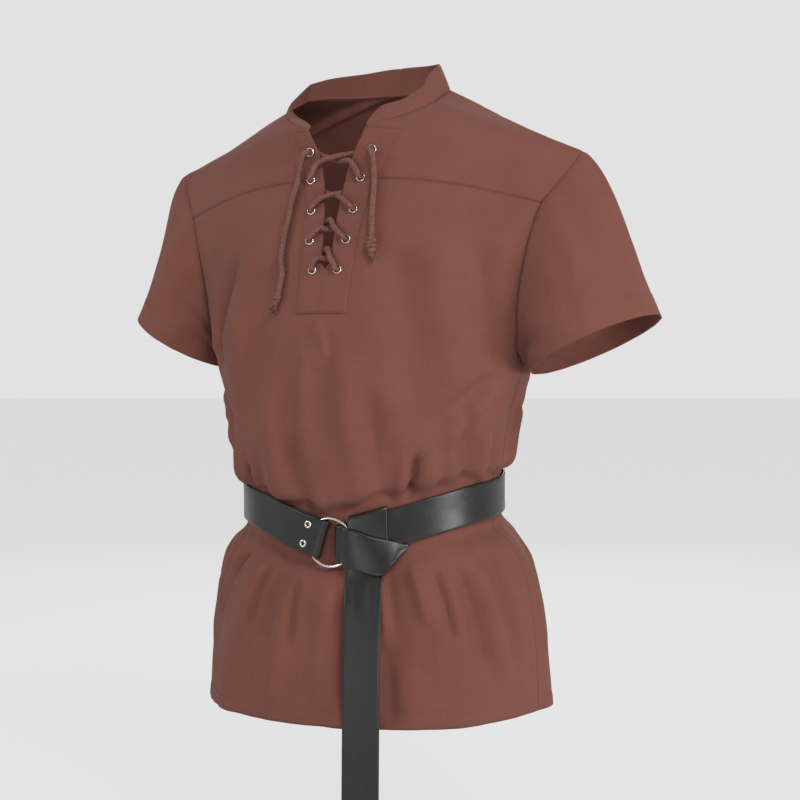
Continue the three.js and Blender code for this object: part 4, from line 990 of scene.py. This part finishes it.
# ---------- the cut of each sheet: width and length laid flat in metres, area, how it is held, and what by
cuts = [
    (frontPiece, (0.54, 0.62), 0.283, "gathered", ["tunic_yoke"]),
    (backPiece, (0.54, 0.63), 0.294, "gathered", ["tunic_yoke"]),
    (yokePiece, (0.56, 0.31), 0.109, "draped", ["tunic_front", "tunic_back"]),
    (sleevePieces["left"][0], (0.48, 0.21), 0.053, "hung", ["tunic_yoke"]),
    (sleevePieces["right"][0], (0.46, 0.18), 0.042, "hung", ["tunic_yoke"]),
    (collarPiece, (0.45, 0.036), 0.012, "folded", ["tunic_yoke"]),
    (placketPiece, (0.085, 0.215), 0.0114, "laid", ["tunic_front"]),
]
for piece, flat, area, held, carrier in cuts:
    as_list(carrier)

# ---------- lace
lace = {"radius": 3.2, "endRadius": 3.45, "grain": 0.6, "sides": 24, "lobes": 4, "lobeDepth": 0.26,
        "turn": 14.0}
# depth of the downward and upward leg at the centre, their shifts, share of the rise at the edges
crossings = [
    {"down": -3.0, "up": 5.0, "downShift": 5.5, "upShift": 9.0, "over": 0.56, "under": 0.1},
    {"down": 4.6, "up": -2.6, "downShift": 0.0, "upShift": 0.0, "over": 0.34, "under": 0.36},
    {"down": 1.5, "up": 0.5, "downShift": 5.5, "upShift": -5.5, "over": 0.34, "under": 0.36},
    {"down": 1.6, "up": 1.4, "downShift": -4.8, "upShift": 6.2, "over": 0.34, "under": 0.36},
]


def blended(t, start, end, a, b):
    return ((end - t) * a + (t - start) * b) / (end - start)


def smoothPath(points, step):  # centripetal curve through the points, sampled at an even step
    p = np.array(points, float)
    p = np.concatenate([[2 * p[0] - p[1]], p, [2 * p[-1] - p[-2]]])
    out = []
    for i in range(1, len(p) - 2):
        a, b, c, d = p[i - 1:i + 3]
        t0 = 0.0
        t1 = t0 + max(np.linalg.norm(b - a), 1e-4)**0.5
        t2 = t1 + max(np.linalg.norm(c - b), 1e-4)**0.5
        t3 = t2 + max(np.linalg.norm(d - c), 1e-4)**0.5
        t = np.linspace(t1, t2, 24, endpoint=False)[:, None]
        ab, bc, cd = blended(t, t0, t1, a, b), blended(t, t1, t2, b, c), blended(t, t2, t3, c, d)
        abc, bcd = blended(t, t0, t2, ab, bc), blended(t, t1, t3, bc, cd)
        out.append(blended(t, t1, t2, abc, bcd))
    out = np.concatenate(out + [p[-2:-1]])
    run = lineRun(out)
    spots = np.linspace(0, run[-1], max(4, int(run[-1] / step)))
    return resampled(spots, run, out), spots


def pathFrames(p):  # tangent and two sideways directions that don't spin along the path
    t = np.gradient(p, axis=0)
    t /= np.linalg.norm(t, axis=-1, keepdims=True)
    side = np.zeros_like(p)
    side[0] = unit(np.cross(t[0], [0.3, 0.9, 0.31]))
    for i in range(1, len(p)):
        side[i] = unit(side[i - 1] - t[i] * np.dot(side[i - 1], t[i]))
    return t, side, np.cross(t, side)


def cordShell(shell, points, look, radius=None):
    p, run = smoothPath(points, look["grain"])
    t, a, b = pathFrames(p)
    phi = np.linspace(0, 2 * math.pi, look["sides"] + 1)[None]
    lobe = np.abs(np.cos(look["lobes"] / 2 * (phi + 2 * math.pi * run[:, None] / look["turn"])))
    r = (radius or look["radius"]) * (1 - look["lobeDepth"] + look["lobeDepth"] * lobe)
    q = p[:, None] + r[..., None] * (np.cos(phi)[..., None] * a[:, None]
                                     + np.sin(phi)[..., None] * b[:, None])
    uv = np.stack(np.broadcast_arrays(phi * look["radius"], run[:, None]), -1)
    shell.add(q, uv, False)
    for end, flip in ((0, False), (-1, True)):
        disc = np.stack([q[end], np.broadcast_to(p[end], q[end].shape)])
        shell.add(disc, np.zeros(disc.shape[:2] + (2,)), not flip)
    return p


def legPoints(fromSide, start, end, height, shift, startsInside, c):
    z0, z1 = (eyelets["top"] - k * eyelets["pitch"] for k in (start, end))

    def part(side, isInside, first):
        inset = eyelets["insets"][side][start if first else end]
        if isInside:
            rows = ((0, 0, -1.4), (1.6, c["under"] * 0.055, -4.6), (5, c["under"] * 0.33, -5.4),
                    (inset - 1.5, c["under"], -5.2))
        else:
            rows = ((0, 0, 3), (1.3, c["over"] * 0.06, 6.4), (4.5, c["over"] * 0.3, 7.4),
                    (inset - 1.5, c["over"], 6.6))
        return [beside(side, inset - d, z0 + (z1 - z0) * (k if first else 1 - k), h) for d, k, h in rows]

    centre = besidePlace(1, 0, (z0 + z1) / 2 + shift)[0]
    return (part(fromSide, startsInside, True) + [np.array([0, centre[1] - height, centre[2]])]
            + part(-fromSide, not startsInside, False)[::-1])


def lacePoints():
    foot = eyelets["count"] - 1
    z = [eyelets["top"] - k * eyelets["pitch"] for k in range(eyelets["count"])]
    topRight, topLeft, low = eyelets["insets"][-1][0], eyelets["insets"][1][0], eyelets["insets"][1][foot]
    points = [beside(-1, topRight, z[0], 6.4), beside(-1, topRight, z[0], 3)]
    for i in range(foot):
        c = crossings[i]
        points += legPoints(-1 if i % 2 == 0 else 1, i, i + 1, c["down"], c["downShift"], True, c)
    points += [beside(-1, low, z[foot], -1.4), beside(-1, low - 2.2, z[foot] - 0.6, -5),
               beside(1, low - 2.2, z[foot] - 0.6, -5), beside(1, low, z[foot], -1.4)]
    for i in range(foot, 0, -1):
        c = crossings[i - 1]
        points += legPoints(1 if i % 2 == 0 else -1, i, i - 1, c["up"], c["upShift"], False, c)
    return points + [beside(1, topLeft, z[0], 3), beside(1, topLeft, z[0], 6.4)]


laceEnds = {  # inset, height, lift from the cloth
    "right": {"side": -1, "rows": [
        (9.5, -76, 6.9), (9.7, -76.1, 8.8), (12, -77.4, 10.6), (17, -82, 10.8), (22, -90, 8.8),
        (27, -101, 6.8),
        (33, -116, 5.9), (39, -132, 5.5), (44, -150, 5.5), (48, -170, 5.5), (50, -190, 5.5),
        (53, -210, 5.5),
        (53.5, -229.2, 6.4)], "knot": (54, -236.5, 7.0), "end": (58, -247, 5.6)},
    "left": {"side": 1, "rows": [
        (19.5, -76, 6.9), (19.7, -76.1, 8.8), (21.5, -77.8, 10.8), (25, -82, 11.4), (29, -90, 9.4),
        (33, -101, 7),
        (37.5, -116, 5.9), (40, -132, 5.5), (43, -150, 5.5), (46, -170, 5.8)], "knot": (48, -180.5, 7.0),
        "end": (50, -197, 6.4)},
}


def laceFinish():
    f = Finish("lace_cord", 0.9, Specular_IOR_Level=0.15)
    body, uv = f.place(), f.place(uv=True)
    fibre = f.noise(f.place((1, 0.3, 1), uv=True), 2200.0, 2.0)
    tuft = f.noise(body, 950.0, 2.0, 0.6)
    colour = f.mix((0.075, 0.026, 0.02, 1), (0.27, 0.125, 0.1, 1),
                   (tuft * 0.75 + fibre * 0.25).between(0.34, 0.66))
    f.feed(Base_Color=colour, Normal=f.bump(tuft * 0.7 + fibre * 0.3, 0.8, 0.0012))
    return f.material


laceCord = laceFinish()
laceShell = Shell()
cordShell(laceShell, lacePoints(), lace)
lacePiece = laceShell.build("lace_crossed", laceCord, slot="lace_cord")
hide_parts("lace")
rng = np.random.default_rng(garment["seed"])


def fray(shell, start, along, count, length, spread):  # loose threads at a cut end
    _, a, b = pathFrames(np.array([start, start + along]))
    for _ in range(count):
        angle, lean = rng.uniform(0, 2 * math.pi), rng.uniform(0.1, 1.0) * spread
        way = a[0] * math.cos(angle) + b[0] * math.sin(angle)
        size = length * rng.uniform(0.55, 1.0)
        curl = b[0] * rng.uniform(-1, 1) * spread * 0.35
        strand = [start + way * lean * 0.35, start + along * size * 0.5 + way * lean * 0.8 + curl,
                  start + along * size + way * lean * 1.5]
        cordShell(shell, strand, {**lace, "radius": 0.4, "sides": 5, "lobeDepth": 0.0, "grain": 1.4})


knots = {  # turns and reach of the wrap, its radii, and the loose threads: count, length, spread
    "left": {"turns": 3.3, "reach": 7.4, "wrap": 3.2, "cord": 2.9, "threads": 34, "length": 6.0,
             "spread": 3.0},
    "right": {"turns": 2.1, "reach": 3.4, "wrap": 2.3, "cord": 2.4, "threads": 46, "length": 13.0,
              "spread": 4.4},
}


def makeLaceEnd(name, s):
    points = [beside(s["side"], *row) for row in s["rows"]]
    shell = Shell()
    path = cordShell(shell, points, lace, lace["endRadius"])
    piece = shell.build(f"lace_end_{name}_cord", laceCord, slot="lace_cord")
    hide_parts(f"lace_end_{name}")
    centre, end = beside(s["side"], *s["knot"]), beside(s["side"], *s["end"])
    along = unit(end - centre)
    _, a, b = pathFrames(np.array([centre, end]))
    a, b, k = a[0], b[0], knots[name]
    knot = Shell()
    coil = []
    for w in np.linspace(0, 1, 60):
        turn = 2 * math.pi * k["turns"] * w
        wide = k["wrap"] * (0.72 + 0.4 * math.sin(math.pi * w)) * (1 + 0.08 * math.sin(3.1 * turn))
        coil.append(centre + along * (2 * w - 1 + 0.09 * math.sin(1.7 * turn)) * k["reach"]
                    + wide * (a * math.cos(turn) + b * math.sin(turn)))
    cordShell(knot, coil, {**lace, "radius": k["cord"]})
    cordShell(knot, [points[-1], centre - along * 3, centre, centre + along * k["reach"], end - along * 3],
              lace)
    fray(knot, end - along * 5, along, k["threads"], k["length"], k["spread"])
    knotPiece = knot.build(f"lace_knot_{name}_tied", laceCord, slot="lace_cord")
    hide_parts(f"lace_knot_{name}")
    length = float(np.linalg.norm(np.diff(path, axis=0), axis=1).sum()) * mm
    print("lace end", name, round(length, 3))


for name, end in laceEnds.items():
    makeLaceEnd(name, end)
print("lace made")

# ---------- belt: places by distance along its middle from the centre front, plus towards the wearer's left
strap = {"width": 42.0, "thick": 2.6, "lift": 3.5, "turnedLift": 12.0, "foldReach": 7.3, "leftEnd": 6.0}
kink = {"left": 3.2, "right": -7.6, "from": 6.5, "to": 19.5, "leftFade": (60.0, 210.0),
        "rightFade": (70.0, 190.0)}
ring = {"radius": 26.0, "wire": 1.7, "centre": 13.5, "lift": 6.9, "drop": 2.4}


def waistTable():
    parts = []
    for which, u in (("front", np.linspace(0, 1, 41)), ("back", np.linspace(1, 0, 41)[1:])):
        low, middle, high = (sectionPoint(which, level, u, 1) for level in (3.3, 3.65, 4))
        parts.append((middle, (high - low) / np.linalg.norm(high - low, axis=-1, keepdims=True)))
    p, up = (np.concatenate([part[k] for part in parts]) for k in (0, 1))
    return p, up, lineRun(p)


waistPoints, waistUps, waistRuns = waistTable()
halfWaist = waistRuns[-1]


def fadedOut(distance, fade):
    return float(smooth((fade[1] - abs(distance)) / (fade[1] - fade[0])))


def waistPlace(distance):
    d = distance + 2 * halfWaist if distance < -halfWaist else distance
    side = -1 if d < strap["leftEnd"] else 1
    s = min(d * side, halfWaist - 1e-6)
    k = max(1, int(np.searchsorted(waistRuns, s, side="right")))
    t = (s - waistRuns[k - 1]) / (waistRuns[k] - waistRuns[k - 1])
    flip = np.array([side, 1, 1])
    p = (waistPoints[k - 1] * (1 - t) + waistPoints[k] * t) * flip
    up = waistUps[k - 1] * (1 - t) + waistUps[k] * t
    up = unit(up) * flip
    near, far = waistPoints[max(0, k - 2)], waistPoints[min(len(waistPoints) - 1, k + 1)]
    along = unit(far - near) * flip * side
    out = np.cross(along, up)
    if side < 0:  # there the strap's end is square to its run
        up = unit(up - along * (fadedOut(d, kink["leftFade"]) * np.dot(up, along)))
    toRight = float(smooth((d - kink["from"]) / (kink["to"] - kink["from"])))
    p = p + up * (kink["left"] * fadedOut(d, kink["leftFade"]) * (1 - toRight)
                  + kink["right"] * fadedOut(d, kink["rightFade"]) * toRight)
    return p, along, up, unit(out)


def onWaist(distance, lift, up=0.0):
    p, _, rise, out = waistPlace(distance)
    return p + out * lift + rise * up


def easedRows(grid, step):  # a smooth curve through each column of a grid, at an even step
    runs = [smoothPath(grid[:, j], 0.8)[0] for j in range(grid.shape[1])]
    length = max(lineRun(r)[-1] for r in runs)
    count = max(8, int(length / step))
    out = []
    for j, r in enumerate(runs):  # each column keeps its stations in step with its neighbours
        run = lineRun(r)
        marks = [run[int(np.argmin(np.linalg.norm(r - q, axis=1)))] for q in grid[:, j]]
        share = np.linspace(0, len(grid) - 1, count)
        spots = np.interp(share, np.arange(len(grid)), np.maximum.accumulate(marks))
        out.append(resampled(spots, run, r))
    return np.stack(out, 1)


def strapPiece(name, grid, thick, node, material, crown):  # leather with rounded edges on a grid of points
    p = grid
    n = gridNormals(p)
    across = travelled(p, 1)
    share = across / across[:, -1:]
    lift = crown * np.sin(np.pi * share)
    p = p + n * lift[..., None]
    h = thick / 2
    edgeWay = np.gradient(p, axis=1)
    edgeWay /= np.linalg.norm(edgeWay, axis=-1, keepdims=True)
    turn = np.linspace(math.pi / 2, -math.pi / 2, 7)
    soft = 0.75
    low = [p[:, 0] + edgeWay[:, 0] * h * soft * (1 - math.cos(t)) + n[:, 0] * h * math.sin(t)
           for t in turn[::-1]]
    high = [p[:, -1] - edgeWay[:, -1] * h * soft * (1 - math.cos(t)) + n[:, -1] * h * math.sin(t)
            for t in turn]
    top = [p[:, j] + n[:, j] * h for j in range(1, p.shape[1] - 1)]
    under = [p[:, j] - n[:, j] * h for j in range(p.shape[1] - 2, 0, -1)]
    q = np.stack(low + top + high + under + [low[0]], 1)
    run = travelled(p, 0)[:, 0]
    count = len(low) + len(top) + len(high) + len(under) + 1
    uv = np.stack(np.broadcast_arrays(np.linspace(0, 2 * across[0, -1], count)[None], run[:, None]), -1)
    shell = Shell()
    shell.add(q, uv, False)
    for end, flip in ((0, False), (-1, True)):
        cap = np.stack([q[end], np.broadcast_to(p[end].mean(axis=0), q[end].shape)])
        shell.add(cap, np.zeros(cap.shape[:2] + (2,)), not flip)
    piece = shell.build(name, material, slot="belt_leather")
    facesOutward(piece.data)
    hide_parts(node)
    return piece


leatherLook = {"base": (0.007, 0.006, 0.0057, 1), "worn": (0.016, 0.0138, 0.0128, 1), "grain": 950.0}


def leatherFinish(name, look):
    f = Finish(name, 0.34, Specular_IOR_Level=0.5)
    body = f.place()
    uv = f.place(uv=True)
    cells = f.node("ShaderNodeTexVoronoi", {"feature": "DISTANCE_TO_EDGE"},
                   {"Vector": body, "Scale": look["grain"]})
    pores = f.noise(body, 1500.0, 2.0)
    cloud = f.noise(body, 22.0, 4.0, 0.6).between(0.3, 0.7)
    scuff = f.noise(f.place((1, 0.08, 1), uv=True), 160.0, 3.0).between(0.52, 0.8)
    f.feed(Base_Color=f.mix(look["base"], look["worn"], cloud * 0.4 + scuff * 0.35),
           Roughness=cloud * 0.06 + scuff * 0.1 + 0.29,
           Normal=f.bump(cells.between(0.0, 0.25) * 0.7 + pores * 0.5, 0.16, 0.00025,
                         f.bump(cloud, 0.12, 0.0015)))
    return f.material


leather = leatherFinish("belt_leather", leatherLook)
shares = np.linspace(0, 1, 15)
halfWidths = (shares - 0.5) * strap["width"]


def wrapStations(centre, toRight, steps):
    inner, outer = strap["lift"], strap["turnedLift"]
    middle, half = (inner + outer) / 2, (outer - inner) / 2
    way = 1 if toRight else -1
    return [(centre + way * strap["foldReach"] * math.cos(a), middle + half * math.sin(a))
            for a in np.linspace(-math.pi / 2, math.pi / 2, steps + 1)]


chord = math.sqrt(ring["radius"]**2 - (strap["width"] / 2)**2)
wireLeft, wireRight = ring["centre"] - chord, ring["centre"] + chord


def makeBelt():
    stations = [(-50, strap["lift"]), (-34, strap["lift"]), (-18, strap["lift"])]
    stations += wrapStations(wireLeft, True, 12)
    stations += [(-18, strap["turnedLift"]), (-34, strap["turnedLift"] - 0.4), (-52, 8.6), (-72, 5.4),
                 (-92, 3.4)]
    start, end = -106, wireRight - 2 * halfWaist + 0.4
    stations += [(start + (end - start) * i / 150, strap["lift"]) for i in range(151)]
    centre = np.array([onWaist(s, lift) for s, lift in stations])
    ups = np.array([waistPlace(s)[2] for s, _ in stations])
    grid = centre[:, None] + ups[:, None] * -halfWidths[None, :, None]
    return strapPiece("belt_strap", easedRows(grid, 4.0), strap["thick"], "belt", leather, 0.3)


makeBelt()

# The knot's front band: distance, top and foot from the belt's middle, lifts there
loopRows = [(34.9, 13, -30.5, 15.5, 16.6), (44.3, 9, -33.5, 15.6, 18.4), (59, -1, -41, 14.4, 19.5),
            (74.4, -9.5, -48, 11, 19),
            (84.8, -15, -37.5, 9.6, 14.5), (95.1, -19.5, -28, 8.8, 10.4), (101.1, -22, -23.8, 8.2, 8.6)]


def makeLoop():
    rows = [(s, 21 - i * 0.32, -21 - i * 0.08, lift, lift)
            for i, (s, lift) in enumerate(wrapStations(wireRight, False, 12))]
    grid = np.array([[onWaist(s, a + (b - a) * t, top + (foot - top) * t) for t in shares]
                     for s, top, foot, a, b in rows + loopRows])
    return strapPiece("belt_front_band", easedRows(grid, 2.2), strap["thick"], "belt_loop", leather, 0.5)


makeLoop()
tail = {"centre": 57.0, "hang": 61.0, "leftLift": 12.5, "rightLift": 6.9, "foot": -862.0}
tailRows = [(-548, -122.5, 5.5), (-570, -127.5, 3.8), (-600, -132, 2.2), (-640, -136, 0.9),
            (-690, -138.5, 0),
            # height, place in Y, how far towards the centre
            (-750, -139.5, 0), (-810, -140, 0), (-846, -140, 0)]


def makeTail():
    columns = []
    for share in shares:
        s = tail["centre"] + strap["width"] * (share - 0.5)
        lift = tail["leftLift"] + (tail["rightLift"] - tail["leftLift"]) * share
        edge = strap["width"] / 2
        rows = [(edge + 3.3, strap["lift"]), (edge + 3.3, (strap["lift"] + lift) / 2),
                (edge + 1.4, lift - 0.6),
                (edge - 4, lift), (0, lift), (-edge, lift)]
        points = [onWaist(s, h, up) for up, h in rows]
        x = tail["hang"] + strap["width"] * (share - 0.5)
        points += [np.array([x - inward, y + 5 * share - 2.5, z]) for z, y, inward in tailRows]
        point = abs(share - 0.5) * 2
        points.append(np.array([x, tailRows[-1][1] + 5 * share - 2.5, tail["foot"] + 12 * point * point]))
        columns.append(points)
    grid = np.array(columns).transpose(1, 0, 2)
    return strapPiece("belt_hanging_end", easedRows(grid, 3.0), strap["thick"], "belt_tail", leather, 0.35)


makeTail()
print("belt made")


# ---------- ring and rivets
def makeRing():
    _, along, _, out = waistPlace(ring["centre"])
    centre, other = onWaist(ring["centre"], ring["lift"], -ring["drop"]), np.cross(out, along)
    a, b = np.meshgrid(np.linspace(0, 2 * math.pi, 121), np.linspace(0, 2 * math.pi, 21), indexing="ij")
    spoke = np.cos(a)[..., None] * along + np.sin(a)[..., None] * other
    reach, height = ring["radius"] + ring["wire"] * np.cos(b), ring["wire"] * np.sin(b)
    q = centre + spoke * reach[..., None] + out * height[..., None]
    shell = Shell()
    shell.add(q, np.stack([a, b], -1), False)
    piece = shell.build("belt_ring", nickel, slot="metal")
    facesOutward(piece.data)
    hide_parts("ring")


makeRing()
rivet = {"outer": 4.3, "inner": 2.2, "rise": 1.1, "place": -15.0, "apart": 11.0}
seat = strap["turnedLift"] - 0.1 + strap["thick"] / 2 + 0.15
rivetProfile = roundedProfile([
    (rivet["inner"], seat), (rivet["outer"], seat), (rivet["outer"] - 0.1, seat + 0.5),
    (rivet["outer"] - 0.8, seat + rivet["rise"]),
    (rivet["inner"] + 0.5, seat + rivet["rise"]), (rivet["inner"], seat + 0.5)], 0.35)
_, rivetAlong, _, rivetOut = waistPlace(rivet["place"])
rivetPlaces = [(onWaist(rivet["place"], 0, up), rivetAlong, rivetOut)
               for up in (rivet["apart"], -rivet["apart"])]
rivetPiece = setRepeats("belt_rivets", rivetPlaces, latheShape("rivet", rivetProfile, 32), nickel)
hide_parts("rivet_top", "rivet_low")
print("ring and rivets set")

# ---------- floor, light and finish
studio = {"floor": -0.885, "reach": 30.0, "sides": 64, "tone": 0.12, "glow": 0.665, "world": 0.76,
          "ambient": 0.33}


def makeStudio(s):
    mesh = bpy.data.meshes.new("floor")
    angles = [2 * math.pi * i / s["sides"] for i in range(s["sides"])]
    rim = [(s["reach"] * math.cos(a), s["reach"] * math.sin(a), s["floor"]) for a in angles]
    mesh.from_pydata(rim, [], [list(range(s["sides"]))])
    floor = inScene("floor", mesh)
    pale = Finish("pale_floor", 0.9)
    pale.shader.inputs["Base Color"].default_value = (s["tone"], s["tone"], s["tone"], 1)
    pale.shader.inputs["Specular IOR Level"].default_value = 0.0
    pale.shader.inputs["Emission Color"].default_value = (1, 1, 1, 1)
    pale.shader.inputs["Emission Strength"].default_value = s["glow"]
    mesh.materials.append(pale.material)
    world = bpy.data.worlds.new("studio")
    world.use_nodes = True
    nodes, links = world.node_tree.nodes, world.node_tree.links
    seen, lighting = nodes["Background"], nodes.new("ShaderNodeBackground")
    for background, strength in ((seen, s["world"]), (lighting, s["ambient"])):
        background.inputs[0].default_value = (1, 1, 1, 1)
        background.inputs[1].default_value = strength
    path, choice = nodes.new("ShaderNodeLightPath"), nodes.new("ShaderNodeMixShader")
    links.new(path.outputs["Is Camera Ray"], choice.inputs[0])
    links.new(lighting.outputs[0], choice.inputs[1])
    links.new(seen.outputs[0], choice.inputs[2])
    links.new(choice.outputs[0], nodes["World Output"].inputs["Surface"])
    bpy.context.scene.world = world
    bpy.context.scene.view_settings.view_transform = "Standard"


lamps = {  # place, aim, size, watts
    "key": ((1.9, -1.7, 1.7), (0, 0, -0.35), 1.0, 52),
    "right": ((2.4, -0.5, -0.42), (0, 0, -0.47), 0.75, 26),
    "front": ((0.05, -2.6, -0.55), (0, 0, -0.5), 0.4, 5),
    "left": ((-1.9, -1.9, 0.8), (0, 0, -0.4), 1.2, 26),
    "behind": ((-0.9, 2.5, 1.4), (0, 0, -0.4), 1.3, 44),
}


def makeLamps():
    for name, (place, aim, size, watts) in lamps.items():
        data = bpy.data.lights.new(name, "AREA")
        data.size, data.energy = size, watts
        lamp = inScene(name, data)
        lamp.location = place
        lamp.rotation_euler = (Vector(aim) - Vector(place)).to_track_quat("-Z", "Y").to_euler()


makeStudio(studio)
makeLamps()
